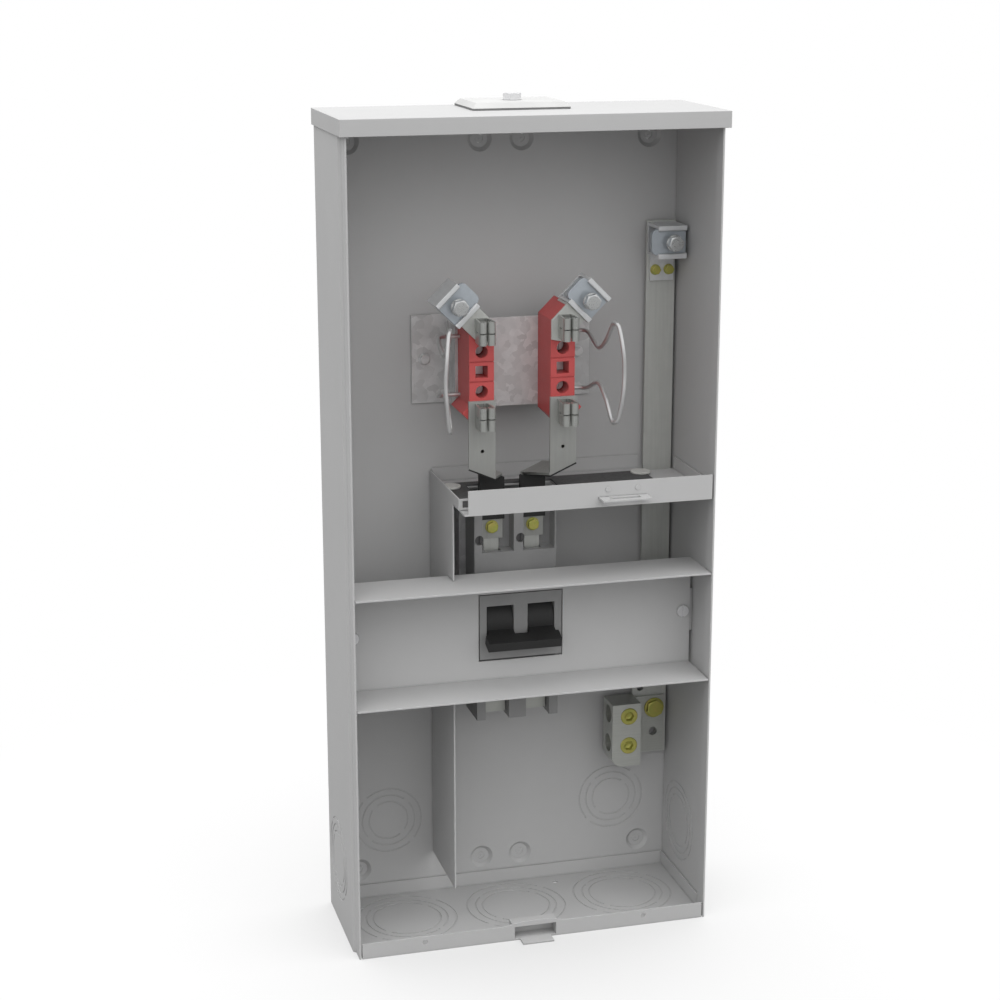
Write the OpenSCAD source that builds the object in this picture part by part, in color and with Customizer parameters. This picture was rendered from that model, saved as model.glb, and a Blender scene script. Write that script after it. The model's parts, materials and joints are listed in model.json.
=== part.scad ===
// Meter socket with a main breaker, covers off.
// Millimetres. X runs across the front, Y runs from the front back to the wall, Z is up.
// The origin is the middle of the outer wall holes, on the wall.
// Inside the modules the zero is the lower rear edge of the back sheet, and depths run forward.

/* [Enclosure] */
// Width over the side walls
box_w = 330.2; // [328:0.1:345]
// Height from the floor to the top of the rain cap
box_h = 737.4; // [731:0.1:760]
// Depth from the back sheet to the front rim
box_d = 121.9; // [120:0.1:130]
// Thickness of the painted sheet
sheet = 1.5; // [1.2:0.1:1.8]
// Depth of the inset strip along the front rim
rim_depth = 16.9; // [12:0.1:20]
// Inward step of the front rim strip
rim_inset = 2.5; // [1.5:0.1:3.5]
// Height of the skirt of the rain cap
cap_skirt = 14.2; // [8:0.1:25]
// Gap between the side walls and the cap skirt
cap_gap = 0.6; // [0.3:0.1:2]
// Gap between the front rim and the cap skirt
cap_front_gap = 1.7; // [0.5:0.1:4]
// Height of the lips of the bottom pan
pan_lip = 14.5; // [10:0.1:16]
// Reach of the hasp tab of the bottom pan in front of the rim
pan_tab = 11; // [8:0.5:16]

/* [Wall holes] */
// Spacing of the outer wall holes across the box
wall_pitch_x = 274.4; // [260:0.1:280]
// Distance of the upper wall holes below the top of the rain cap
wall_hole_top = 29.9; // [29:0.1:40]
// Spacing of the two middle wall holes
inner_pitch_x = 38.1; // [30:0.1:60]
// Height of the lower wall holes above the floor
wall_hole_low = 29.3; // [28:0.1:31]
// Diameter of the wall holes
wall_hole_d = 7.2; // [5:0.1:8]
// Mouth diameter of the dimples round the wall holes
dimple_d = 22; // [20:0.1:23]
// Depth of the dimples behind the back sheet
dimple_depth = 3.2; // [2:0.1:4]

/* [Knockouts] */
// Distance of the back knockouts from the middle
back_ko_x = 109.4; // [100:0.1:114]
// Height of the back knockouts
back_ko_z = 77.5; // [74:0.1:90]
// Depth of the side knockouts in front of the back sheet
side_ko_depth = 45; // [43:0.5:58]
// Height of the side knockouts
side_ko_z = 64; // [58:0.5:80]
// Distance of the outer floor knockouts from the middle
floor_ko_x = 104.5; // [97:0.5:110]
// Depth of the floor knockouts in front of the back sheet
floor_ko_depth = 55.5; // [53:0.5:57]
// Width of the knockout grooves
ko_groove = 1.8; // [0.8:0.1:2]

/* [Hub closing plate] */
// Depth of the hub opening in front of the back sheet
hub_depth = 38; // [37:0.5:60]
// Diameter of the hub opening
hub_d = 57; // [45:0.5:60]
// Width of the closing plate
closing_w = 86; // [80:0.5:110]
// Depth of the closing plate
closing_l = 66; // [64:0.5:70]
// Height of the closing plate
closing_h = 4.5; // [3.5:0.1:7]
// Thickness of the closing plate gasket
gasket_t = 1.6; // [1:0.1:3]

/* [Meter blocks] */
// Distance of the meter blocks from the middle
meter_x = 36.5; // [35:0.1:39]
// Height of the middle of the meter blocks
meter_z = 515.5; // [511:0.1:530]
// Spacing of the line jaws and load jaws
jaw_pitch = 74.5; // [72:0.1:77]
// Depth from the back sheet to the front of the hat bracket
bracket_front = 33; // [30:0.1:36]
// Thickness of the hat bracket
bracket_t = 2; // [1.5:0.1:2.5]
// Depth of the meter blocks
block_depth = 40; // [38:0.1:44]
// Width of the meter blocks
block_w = 22; // [21:0.1:24]
// Height of a jaw clip
jaw_h = 20.3; // [18:0.1:25]
// Depth of a jaw clip in front of its plate
jaw_d = 22.5; // [18:0.1:25]
// Thickness of the tinned straps
strap_t = 2.4; // [2:0.1:3]
// Diameter of the support wires
wire_d = 3.7; // [3:0.1:5]

/* [Lugs] */
// Width across a lug channel
lug_w = 29.2; // [28:0.1:31]
// Length of a lug channel
lug_l = 26.4; // [24:0.1:28]
// Height of a lug channel
lug_h = 31; // [30:0.1:34]
// Wall of a lug channel
lug_wall = 3; // [2.5:0.1:3.2]
// Depth from the block front to the rear of a line lug
lug_sunk = 24.8; // [22:0.1:27]
// Diameter of a lug bolt
bolt_d = 8; // [7:0.1:8.6]
// Width across the flats of a lug bolt head
bolt_flats = 12.7; // [11:0.1:14]

/* [Load buses] */
// Width of the load buses
bus_w = 23.9; // [22.5:0.1:26]
// Width of the lower section of the load buses
bus_low_w = 20; // [17:0.1:22]
// Angle of the folded edges of the load buses
bus_slant = 23.7; // [21:0.1:25]
// Height of the lower outer corner of the folded edges
bus_fold_z = 430.5; // [429:0.1:438]
// Wall of the insulating sleeves
sleeve_t = 1.4; // [1:0.1:1.8]

/* [Neutral] */
// Distance from the outside of the right wall to the middle of the neutral strap
neutral_in = 17.4; // [16.5:0.1:18]
// Width of the neutral strap
neutral_w = 27; // [25:0.1:28]
// Gap between the back sheet and the neutral strap
neutral_off = 4.5; // [3.5:0.1:6]
// Thickness of the neutral strap
neutral_t = 3; // [2:0.1:3.5]
// Height of the neutral line lug
neutral_lug_z = 616; // [600:0.5:620]
// Height of the upper wire hole of the neutral load lug
load_lug_z = 171; // [165:0.5:176]
// Spacing of the wire holes of the neutral load lug
load_lug_pitch = 29; // [24:0.5:31]
// Diameter of the wire holes of the neutral load lug
load_lug_bore = 17; // [14:0.1:18]

/* [Divider and shelf] */
// Distance of the divider from the middle
divider_x = 66.5; // [65:0.1:69]
// Depth from the back sheet to the front edge of the divider
divider_d = 86.5; // [75:0.5:92]
// Height of the lower edge of the divider
divider_low = 40.5; // [30:0.5:60]
// Height of the upper edge of the divider
divider_top = 413; // [405:0.5:418]
// Height of the shelf
shelf_z = 401; // [397:0.1:405]
// Height of the front flange of the shelf
shelf_flange = 22; // [18:0.1:25]
// Thickness of the insulating sheet on the shelf
barrier_t = 1.5; // [1:0.1:2.5]

/* [Dead front] */
// Depth from the back sheet to the face of the dead front
front_d = 70; // [69.7:0.1:72]
// Height of the lower edge of the dead front
front_low = 232; // [225:0.5:240]
// Height of the upper edge of the dead front
front_top = 333; // [326:0.5:338]
// Width of the breaker opening
front_hole_w = 78; // [77:0.1:84]
// Height of the breaker opening
front_hole_h = 62.5; // [61:0.1:68]

/* [Breaker] */
// Width of one breaker pole
pole_w = 38; // [37:0.1:38.4]
// Height of the load end of the breaker
breaker_low = 190.5; // [188:0.5:194]
// Height of the line end of the breaker
breaker_top = 384; // [381:0.5:390]
// Depth from the back sheet to the rear of the breaker
breaker_rear = 20; // [19:0.1:21]
// Depth from the back sheet to the face of the breaker nose
nose_d = 69.5; // [69:0.1:70]
// Height of the handle pivot
handle_z = 283; // [282:0.1:284]
// Tilt of the handle below level when it is off
handle_tilt = 20; // [16:0.5:21]
// Reach of the handle from its pivot
handle_reach = 44; // [40:0.5:48]
// Backward tilt of the open contact arms
arm_tilt = 5; // [4:0.1:5.5]

/* [Hidden] */
$fn = 48;
over = 1;
fit = 0.2;
clear = 0.3;
run = 0.05;
half_w = box_w / 2;
wall_in = half_w - sheet;
rim_out = half_w - rim_inset;
rim_in = rim_out - sheet;
rim_start = box_d - rim_depth;
bend = sheet * tan(22.5);
seat_depth = rim_start - bend - fit;
cap_under = box_h - sheet;
wall_pitch_z = box_h - wall_hole_top - wall_hole_low;
wall_hole_mid = wall_hole_low + wall_pitch_z / 2;
ko_depth = 0.55;
ko_tie = 6;
ko_small = [31.4, 25, 18.5];
ko_mid = [37.7, 31.4, 25];
ko_large = [46, 37.7, 31.4];

pan_front_x = rim_in - 1.3;
pan_rise = 3.2;
pan_rise_top = 10;
pan_rise_foot = 30;
pan_hole_x = 102.8;
pan_hole_z = 9.4;
pan_hole_r = 2.4;
hasp_half = 19.5;
hood_d = 13;
hood_top = pan_lip - sheet;
tab_half = hasp_half - 5;
drain_x = 50;
drain_depth = 16.6;
drain_r = 2.5;

closing_low = box_h + gasket_t;
closing_top = closing_low + closing_h;
closing_t = 2;
closing_bolt_r = 4;
closing_bolt_flats = 14;
closing_bolt_head = 6;
closing_bolt_tail = 4;
closing_bar_t = 5;
closing_bar_half = 9;
closing_bar_over = 10;
gasket_in = 0.5;

screw_r = 2.1;
screw_head_r = 5.4;
screw_head_h = 4;
screw_flats = 8;
washer_t = 1;
slot_half_w = 0.7;
sunk = 0.5;

block_front = bracket_front + block_depth;
plate_front = block_front + strap_t;
block_half = block_w / 2;
ridge_u = 3.5;
ridge_v = 57;
eave_u = 19;
eave_v = ridge_v - (eave_u - ridge_u);
neck_v = eave_v - (eave_u - block_half);
slope_v = ridge_v - ridge_u - block_half;
foot_u = 17.5;
foot_v = 36;
foot_neck_v = foot_v - (foot_u - block_half);
foot_ridge_u = (foot_u + foot_v - slope_v - block_half) / 2;
foot_ridge_v = foot_u + foot_v - foot_ridge_u;
well_depth = 18;
gable = (eave_u - ridge_u) * sqrt(2);
block_hole_v = 17.6;
block_hole_r = 5.5;
block_hole_floor = block_front - well_depth;
block_screw_r = 2.4;
block_head_r = block_hole_r - 0.6;
block_head_h = 3;
block_slot_low = 1.8;
block_tail = 3;
window_half_w = 5.5;
window_half_h = 5.25;
window_floor = block_front - well_depth;
window_plate_t = 2;
groove_v = 8.7;
groove_half = 0.6;
groove_depth = 1;
plate_low_in = 25.5;
plate_low_out = 23;
plate_tip = 0.5;
bracket_half = 50;
bracket_foot = 82.5;
bracket_drop = 40;
bracket_rise = 39.5;
bracket_low = meter_z - bracket_drop;
bracket_high = meter_z + bracket_rise;
bracket_screw_x = 71;
wire_sides = 8;
wire_steps = 4;
wire_bend = 5;
wire_front = 76.5;
wire_v = 25.85;
wire_off = 6.5;
wire_depth = bracket_front + wire_off;
wire_root = [[3, 0, 0], [14, 0, 0], [20.6, 6.5, -1], [22.2, 31.5, -10], [23.4, 50, 0]];
wire_turn = [24.4, 64, 15.8];
wire_leave = [4.5, 0, -19];
wire_tip = [30.2, 20];
wire_bow = 31.4;
wire_socket = 6;
jaw_x = meter_x + 0.7;
jaw_base_half = 5.8;
jaw_leaf = 1.5;
jaw_lip_r = 3.4;
jaw_lip_x = 3.8;
jaw_lip_t = 1.3;
jaw_split = 0.5;
jaw_split_rear = 5;

lug_rear = block_front - lug_sunk;
lug_lip = 4.8;
lug_along = gable / 2 + 0.9;
lug_in = lug_w / 2 - lug_wall;
bridge_t = 5;
bridge_front = lug_h - lug_wall;
bridge_rear = bridge_front - bridge_t;
bridge_tail = 5.2;
bridge_corner = 5;
pad_rear = 8;
pad_t = 4;
pad_socket = 1.5;
pad_half = 9.5;
pad_side = 1.5;
pad_front = pad_rear + pad_t;
bolt_r = bolt_d / 2;
flange_rear = bridge_front + 6;
flange_t = 2;
flange_r = 7.5;
head_t = 6.5;

bus_x0 = meter_x - bus_w / 2 + 0.25;
bus_x1 = bus_x0 + bus_w;
bus_drop = 25.3;
bus_top = meter_z - bus_drop;
bus_fold_in = bus_fold_z - bus_w * tan(bus_slant);
bus_back = 38;
bus_back_front = bus_back + strap_t;
bus_run = plate_front - bus_back;
pole_x = pole_w / 2;
bus_low_x0 = pole_x - bus_low_w / 2;
bus_low_x1 = pole_x + bus_low_w / 2;
fold_in = (bus_low_x0 - bus_x0) / cos(bus_slant);
fold_out = (bus_low_x1 - bus_x0) / cos(bus_slant);
bus_end = 356;
bus_hole_up = 15;
bus_hole_r = 1.6;
line_screw_r = 3;
line_head_r = 6;
line_head_h = 5;
line_flats = 9;
sleeve_drop = 10;
sleeve_low = breaker_top - sleeve_drop;
sleeve_lap = 9;
sleeve_short = 0.5;

neutral_x = half_w - neutral_in;
neutral_rear = sheet + neutral_off;
neutral_front = neutral_rear + neutral_t;
neutral_foot = 49;
neutral_head = 16;
neutral_tab = 38;
neutral_low = load_lug_z - neutral_foot;
neutral_top = neutral_lug_z + neutral_head;
neutral_tab_low = neutral_lug_z - neutral_tab;
neutral_tab_half = 11;
neutral_screw_drop = 28;
neutral_screw_z = neutral_lug_z - neutral_screw_drop;
neutral_screw_dx = 6.3;
neutral_screw_tail = 2;
neutral_head_r = 4.8;
neutral_head_h = 4.5;
neutral_flats = 7.5;
wing = 6.7;
wing_start = 4;
wing_h = 47;
wing_hole_in = 12.4;
wing_hole_up = 13.1;
wing_low = load_lug_z + wing_start;
wing_high = wing_low + wing_h;
wing_hole_x = neutral_x - wing_hole_in;
wing_hole_z = wing_low + wing_hole_up;
wing_hole_r = 3.3;
spacer_r = 8;
spacer_drop = 56;
spacer_pitch = 177;
tongue_t = 3;
tongue_front = neutral_front + tongue_t;
tongue_in = 3;
tongue_end = neutral_x + neutral_w / 2 - tongue_in;
load_lug_reach = 48.7;
load_lug_w = 28;
load_lug_bore_in = 16.3;
load_lug_x0 = neutral_x - load_lug_reach;
load_lug_x1 = load_lug_x0 + load_lug_w;
load_lug_mid = load_lug_x0 + load_lug_bore_in;
load_lug_corner = 10;
load_lug_d = 28;
load_lug_bore_d = 15;
load_lug_foot = 20.5;
load_lug_head = 12;
load_lug_front = neutral_front + load_lug_d;
load_lug_axis = neutral_front + load_lug_bore_d;
load_lug_low = load_lug_z - load_lug_pitch - load_lug_foot;
load_lug_high = load_lug_z + load_lug_head;
set_screw_r = 8.2;
set_screw_flats = 8;
set_screw_socket = 5;
set_screw_proud = 0.8;
set_screw_rear = load_lug_axis + 3;
bond_x = neutral_x + 0.7;
bond_drop = 3;
bond_z = load_lug_z - bond_drop;
bond_r = 3;
bond_head_r = 9.8;
bond_head_h = 5;
bond_flats = 15;
bond_tail = 1.5;
spare_x = bond_x - 0.5;
spare_drop = 24.3;
spare_z = bond_z - spare_drop;
spare_r = 4;

divider_right = -divider_x + sheet;
ear_in = 13.9;
ear_d = box_d - ear_in;
ear_w = 12;
ear_hole = 6;
divider_foot = 12;
divider_foot_drop = 2;
shelf_x0 = divider_right + fit;
shelf_x1 = wall_in - fit;
shelf_front_x1 = rim_in - 1.6;
shelf_top = shelf_z + sheet;
shelf_flange_x0 = shelf_x0 + 3.5;
ear_low = shelf_top + clear;
ear_hole_x = (divider_right - divider_x + ear_w) / 2;
ear_hole_z = (ear_low + divider_top) / 2;
shelf_notch_x = neutral_x - neutral_w / 2 - 3.2;
shelf_notch_d = neutral_front + 5;
shelf_rear_h = 14;
shelf_side_h = 13;
slot_half = 40;
slot_rear = 28;
slot_front = ear_d - 8;
barrier_front = ear_d - sheet - 0.6;
barrier_rear = 18;
barrier_side = 0.8;
barrier_x1 = shelf_notch_x - 1;
barrier_top = shelf_top + barrier_t;
button_r = 9;
button_t = 2;
button_pin_r = 3;
button_tail = 2;
button_left = [shelf_x0 + 9.8, barrier_rear + 16];
button_right = [barrier_x1 - 4.5, barrier_rear + 9];
hasp_x0 = 55;
hasp_x1 = 99;
hasp_z = shelf_z + 7.5;
hasp_reach = 14;
rivet_z = shelf_z + 15.5;
rivet_in = 8.5;
rivet_r = 1.6;
rivet_head_r = 2.3;
rivet_head_h = 0.6;
rivet_tail = 1.2;
hasp_slot_in = 8;
hasp_slot_rear = box_d + 3;
hasp_slot_front = box_d + 9;
hasp_drop = 1;

front_half = rim_in - 0.6;
front_rear = front_d - sheet;
front_screw_x = front_half - 7;
front_head_h = 2.6;
front_slot_low = 1.4;
front_screw_tail = 8;
front_mid = (front_low + front_top) / 2;
front_hole_z = 281.8;
carrier_front = front_rear - clear;
carrier_d = 30;
carrier_rear = carrier_front - carrier_d;
carrier_half = 20;
carrier_lap = 9;
carrier_in = front_screw_x - carrier_lap;

breaker_half = pole_w;
split_d = 45;
shoulder_d = 52;
fin_d = 60;
fin_high = 214;
nose_low = 252;
nose_high = 312;
pocket_in = bus_low_x0 - sleeve_t - run - clear;
pocket_out = pole_w - 1.5;
pocket_floor = bus_back - 2;
line_pocket_z = 346;
load_pocket_z = 228;
load_pocket_half = 11;
cavity_rear = breaker_rear + 3;
cavity_low = 234;
cavity_high = 336;
cavity_in = 3;
cavity_out = pole_w - 3.5;
cover_screw_r = 2;
cover_head_r = 4;
cover_head_h = 2.5;
cover_slot_low = 1.3;
cover_bore_r = 4.5;
cover_screw_seat = split_d + 2;
cover_screw_tail = 3;
rail_half = 44;
rail_foot = 30;
rail_in = 8;
rail_t = bracket_t;
contact_half = 7;
contact_r = 4;
contact_h = 1;
contact_in = 5;
contact_lap = 12;
contact_end = sleeve_drop + 1;
trip_d = 28;
trip_t = 3;
trip_half = 6;
trip_block = 10;
trip_short = 2;
pin_half = pole_w - 2;
handle_in = 6.9;
handle_out = 31;
tie_half = 33.8;
sector_r = nose_d - split_d - 0.5;
sector_span = 74;
slot_v = 18.5;
handle_play = 0.5;
handle_half = 4.5;
handle_root = 15;
handle_lap = 34;
tie_rear = 31;
hub_r = 6;
sector_hole_r = 4;
pin_r = 2.5;
arm_depth = 33;
arm_z = 246;
arm_half = 5;
arm_t = 3;
arm_len = 82;
bar_r = 4.5;
bar_play = 0.6;
stub_r = 2.5;
stub_h = 2.3;
line_screw_z = 367;
cover_screw_z = 358;
cover_screw_x = 5;
load_pocket_rear = breaker_rear + 4;
lug_block_half = 10;
lug_block_rear = trip_d + trip_t;
lug_block_front = 50;
lug_block_low = breaker_low + 4;
lug_block_high = load_pocket_z - 2;
lug_block_axis = lug_block_rear + 8.5;
lug_block_z = (lug_block_low + lug_block_high) / 2;
lug_block_bore_r = 7;
lug_screw_r = 5;
lug_screw_flats = 5;
lug_screw_socket = 4;
lug_screw_rear = lug_block_axis + 2;

// Moves a piece from the lower rear edge of the back sheet to the shared origin.
module in_frame() {
  translate([0, -dimple_depth, -wall_hole_mid]) children();
}

// Box between two x values, two depths and two heights.
module slab(x0, x1, d0, d1, z0, z1) {
  translate([x0, -d1, z0]) cube([x1 - x0, d1 - d0, z1 - z0]);
}

// Outline drawn in X and Z, made thick forward from a depth.
module upright(rear, thick) {
  translate([0, -rear, 0]) rotate([90, 0, 0]) linear_extrude(thick) children();
}

// Outline drawn in Y and Z, made long along X.
module along_x(x0, length) {
  translate([x0, 0, 0]) rotate([90, 0, 90]) linear_extrude(length) children();
}

// Round bar from one depth forward to another.
module rod_y(x, z, d0, d1, r) {
  translate([x, -d0, z]) rotate([90, 0, 0]) cylinder(h = d1 - d0, r = r);
}

// Hexagon bar from one depth forward to another.
module hex_y(x, z, d0, d1, flats) {
  translate([x, -d0, z]) rotate([90, 0, 0]) cylinder(h = d1 - d0, d = flats / cos(30), $fn = 6);
}

module rod_x(x0, x1, depth, z, r) {
  translate([x0, -depth, z]) rotate([0, 90, 0]) cylinder(h = x1 - x0, r = r);
}

module rod_z(x, depth, z0, z1, r) {
  translate([x, -depth, z0]) cylinder(h = z1 - z0, r = r);
}

module both_sides() {
  children();
  mirror([1, 0, 0]) children();
}

// Washer head screw seated at a depth.
module head_screw(x, z, seat, tip, head_r, head_h, flats, shank_r) {
  union() {
    rod_y(x, z, tip, seat + sunk, shank_r);
    rod_y(x, z, seat, seat + washer_t, head_r);
    hex_y(x, z, seat, seat + head_h, flats);
  }
}

// Concentric knockout grooves, each left whole at two ties.
module knockout(radii) {
  for (i = [0 : len(radii) - 1]) {
    difference() {
      circle(r = radii[i] + ko_groove / 2);
      circle(r = radii[i] - ko_groove / 2);
      rotate(45 + 90 * (i % 2)) square([3 * radii[i], ko_tie], center = true);
    }
  }
}

function wall_half() = [
  [half_w, 0],
  [half_w, -rim_start],
  [rim_out, -rim_start - rim_inset],
  [rim_out, -box_d],
  [rim_in, -box_d],
  [rim_in, -rim_start - rim_inset + bend],
  [wall_in, -rim_start + bend],
  [wall_in, -sheet]];

function flipped(p) = [for (i = [len(p) - 1 : -1 : 0]) [-p[i][0], p[i][1]]];

// Places a shape at all eight wall holes.
module at_wall_holes() {
  for (z = [wall_hole_low, wall_hole_low + wall_pitch_z]) {
    for (x = [-wall_pitch_x, -inner_pitch_x, inner_pitch_x, wall_pitch_x]) {
      translate([x / 2, -sheet, z]) rotate([-90, 0, 0]) children();
    }
  }
}

// Dished wall hole, seen from the front as a shallow cone.
module dimple() {
  mouth = dimple_d / 2;
  skew = sheet * (sqrt(2) - 1);
  rotate_extrude() polygon([
    [wall_hole_d / 2, dimple_depth],
    [mouth - dimple_depth, dimple_depth],
    [mouth, 0],
    [mouth + sheet, 0],
    [mouth + sheet, sheet],
    [mouth + skew, sheet],
    [mouth - dimple_depth + skew, dimple_depth + sheet],
    [wall_hole_d / 2, dimple_depth + sheet]]);
}

module back_knockouts() {
  both_sides() translate([back_ko_x, back_ko_z]) knockout(ko_small);
}

module side_knockout() {
  translate([-side_ko_depth, side_ko_z]) knockout(ko_mid);
}

module back_and_sides() {
  color("silver") union() {
    difference() {
      linear_extrude(cap_under - fit) polygon(concat(wall_half(), flipped(wall_half())));
      at_wall_holes() translate([0, 0, -over]) cylinder(h = sheet + 2 * over, r = (dimple_d + sheet) / 2);
      upright(sheet - ko_depth, ko_depth + over) back_knockouts();
      upright(-over, ko_depth + over) back_knockouts();
      both_sides() along_x(wall_in - over, ko_depth + over) side_knockout();
      both_sides() along_x(half_w - ko_depth, ko_depth + over) side_knockout();
      both_sides() rod_y(bracket_screw_x, meter_z, -over, sheet + over, screw_r);
      rod_y(bond_x, bond_z, -over, sheet + over, bond_r);
    }
    at_wall_holes() dimple();
  }
}

module pan_front() {
  difference() {
    polygon([
      [-pan_front_x, 0],
      [pan_front_x, 0],
      [pan_front_x, pan_lip],
      [pan_rise_foot, pan_lip],
      [pan_rise_top, pan_lip + pan_rise],
      [-pan_rise_top, pan_lip + pan_rise],
      [-pan_rise_foot, pan_lip],
      [-pan_front_x, pan_lip]]);
    translate([-hasp_half, sheet]) square([2 * hasp_half, hood_top - sheet]);
    both_sides() translate([pan_hole_x, pan_hole_z]) circle(r = pan_hole_r);
  }
}

// Hood behind the hasp window.
module pan_hood() {
  difference() {
    slab(-hasp_half - sheet, hasp_half + sheet, box_d - hood_d - sheet, box_d - sheet / 2,
      0, hood_top + sheet);
    slab(-hasp_half, hasp_half, box_d - hood_d, box_d + over, sheet, hood_top);
  }
}

module bottom_pan() {
  side = wall_in - fit;
  rear = sheet + fit;
  color("silver") difference() {
    union() {
      slab(-side, side, rear, seat_depth, 0, sheet);
      slab(-pan_front_x, pan_front_x, seat_depth - over, box_d, 0, sheet);
      slab(-side, side, rear, rear + sheet, 0, pan_lip);
      both_sides() slab(side - sheet, side, rear, seat_depth, 0, pan_lip);
      upright(box_d - sheet, sheet) pan_front();
      pan_hood();
      slab(-tab_half, tab_half, box_d - over, box_d + pan_tab, 0, sheet);
    }
    for (x = [-floor_ko_x, 0, floor_ko_x]) {
      translate([x, -floor_ko_depth, sheet - ko_depth]) linear_extrude(over) knockout(ko_large);
      translate([x, -floor_ko_depth, ko_depth - over]) linear_extrude(over) knockout(ko_large);
    }
    rod_z(drain_x, drain_depth, -over, sheet + over, drain_r);
  }
}

module top_cap() {
  side = half_w + cap_gap;
  front = box_d + cap_front_gap;
  color("silver") difference() {
    slab(-side - sheet, side + sheet, 0, front + sheet, box_h - cap_skirt, box_h);
    slab(-side, side, -over, front, box_h - cap_skirt - over, cap_under);
    rod_z(0, hub_depth, cap_under - over, box_h + over, hub_d / 2);
  }
}

// Low block with four sloping sides, over the hub opening.
module bevelled(half_x, half_y, low, high) {
  rise = high - low;
  intersection() {
    upright(hub_depth - half_y, 2 * half_y) polygon([
      [-half_x, low],
      [half_x, low],
      [half_x - rise, high],
      [rise - half_x, high]]);
    along_x(-half_x, 2 * half_x) translate([-hub_depth, 0]) polygon([
      [-half_y, low],
      [half_y, low],
      [half_y - rise, high],
      [rise - half_y, high]]);
  }
}

module closing_plate() {
  rim = closing_t * (sqrt(2) - 1);
  color("gainsboro") difference() {
    bevelled(closing_w / 2, closing_l / 2, closing_low, closing_top);
    bevelled(closing_w / 2 - rim - closing_t, closing_l / 2 - rim - closing_t,
      closing_low - over, closing_top - closing_t);
    rod_z(0, hub_depth, closing_low, closing_top + over, closing_bolt_r + fit);
  }
}

module closing_gasket() {
  color("dimgray") difference() {
    slab(-closing_w / 2 + gasket_in, closing_w / 2 - gasket_in, hub_depth - closing_l / 2 + gasket_in,
      hub_depth + closing_l / 2 - gasket_in, box_h, closing_low);
    rod_z(0, hub_depth, box_h - over, closing_low + over, hub_d / 2);
  }
}

module closing_bolt() {
  color("silver") union() {
    rod_z(0, hub_depth, cap_under - closing_bar_t - closing_bolt_tail, closing_top + over, closing_bolt_r);
    translate([0, -hub_depth, closing_top])
      cylinder(h = closing_bolt_head, d = closing_bolt_flats / cos(30), $fn = 6);
  }
}

module closing_bar() {
  reach = hub_d / 2 + closing_bar_over;
  color("silver") difference() {
    slab(-reach, reach, hub_depth - closing_bar_half, hub_depth + closing_bar_half,
      cap_under - closing_bar_t, cap_under);
    rod_z(0, hub_depth, cap_under - closing_bar_t - over, cap_under + over, closing_bolt_r + run);
  }
}

module divider() {
  color("silver") difference() {
    union() {
      slab(-divider_x, divider_right, sheet, divider_d, divider_low, divider_top);
      slab(-divider_x, divider_right + divider_foot, sheet, 2 * sheet,
        divider_low, shelf_z - divider_foot_drop);
      slab(-divider_x, divider_right, divider_d - over, ear_d, ear_low, divider_top);
      slab(-divider_x, -divider_x + ear_w, ear_d - sheet, ear_d, ear_low, divider_top);
    }
    slab(ear_hole_x - ear_hole / 2, ear_hole_x + ear_hole / 2, ear_d - 2 * sheet, ear_d + over,
      ear_hole_z - ear_hole / 2, ear_hole_z + ear_hole / 2);
    slab(-divider_x - over, divider_right + over, front_rear - clear, divider_d + over,
      front_low - clear, front_top + clear);
  }
}

// Opening in the shelf for the load buses.
module bus_slot() {
  slab(-slot_half, slot_half, slot_rear, slot_front, shelf_z - over, barrier_top + over);
}

module button_holes(r) {
  for (p = [button_left, button_right]) {
    rod_z(p[0], p[1], shelf_z - over, barrier_top + over, r);
  }
}

module shelf() {
  color("silver") difference() {
    union() {
      slab(shelf_x0, shelf_x1, sheet, seat_depth, shelf_z, shelf_top);
      slab(shelf_x0, shelf_front_x1, seat_depth - over, box_d, shelf_z, shelf_top);
      slab(shelf_flange_x0, shelf_front_x1, box_d - sheet, box_d, shelf_z, shelf_z + shelf_flange);
      slab(shelf_x0, shelf_notch_x, sheet, 2 * sheet, shelf_z, shelf_z + shelf_rear_h);
      slab(shelf_x1 - sheet, shelf_x1, shelf_notch_d, seat_depth, shelf_z, shelf_z + shelf_side_h);
    }
    slab(shelf_notch_x, half_w, 0, shelf_notch_d, shelf_z - over, shelf_top + over);
    bus_slot();
    button_holes(button_pin_r + fit);
    slab(hasp_x0 - clear, hasp_x1 + clear, box_d - 2 * sheet, box_d + over,
      hasp_z - fit, hasp_z + sheet + fit);
    at_hasp_rivets() rod_y(0, rivet_z, 0, box_d + over, rivet_r);
  }
}

module at_hasp_rivets() {
  for (x = [hasp_x0 + rivet_in, hasp_x1 - rivet_in]) {
    translate([x, 0, 0]) children();
  }
}

module shelf_barrier() {
  color("dimgray") difference() {
    slab(shelf_x0 + barrier_side, barrier_x1, barrier_rear, barrier_front, shelf_top, barrier_top);
    bus_slot();
    button_holes(button_pin_r + fit);
  }
}

module barrier_buttons() {
  color("whitesmoke") for (p = [button_left, button_right]) {
    union() {
      rod_z(p[0], p[1], shelf_z - button_tail, barrier_top + sunk, button_pin_r);
      rod_z(p[0], p[1], barrier_top, barrier_top + button_t, button_r);
    }
  }
}

module seal_hasp() {
  leg = box_d - 2 * sheet;
  color("silver") difference() {
    union() {
      slab(hasp_x0, hasp_x1, leg, leg + sheet, hasp_z, shelf_z + shelf_flange - hasp_drop);
      slab(hasp_x0, hasp_x1, leg, box_d + hasp_reach, hasp_z, hasp_z + sheet);
    }
    slab(hasp_x0 + hasp_slot_in, hasp_x1 - hasp_slot_in, hasp_slot_rear, hasp_slot_front,
      hasp_z - over, hasp_z + sheet + over);
    at_hasp_rivets() rod_y(0, rivet_z, 0, box_d, rivet_r);
  }
}

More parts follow.
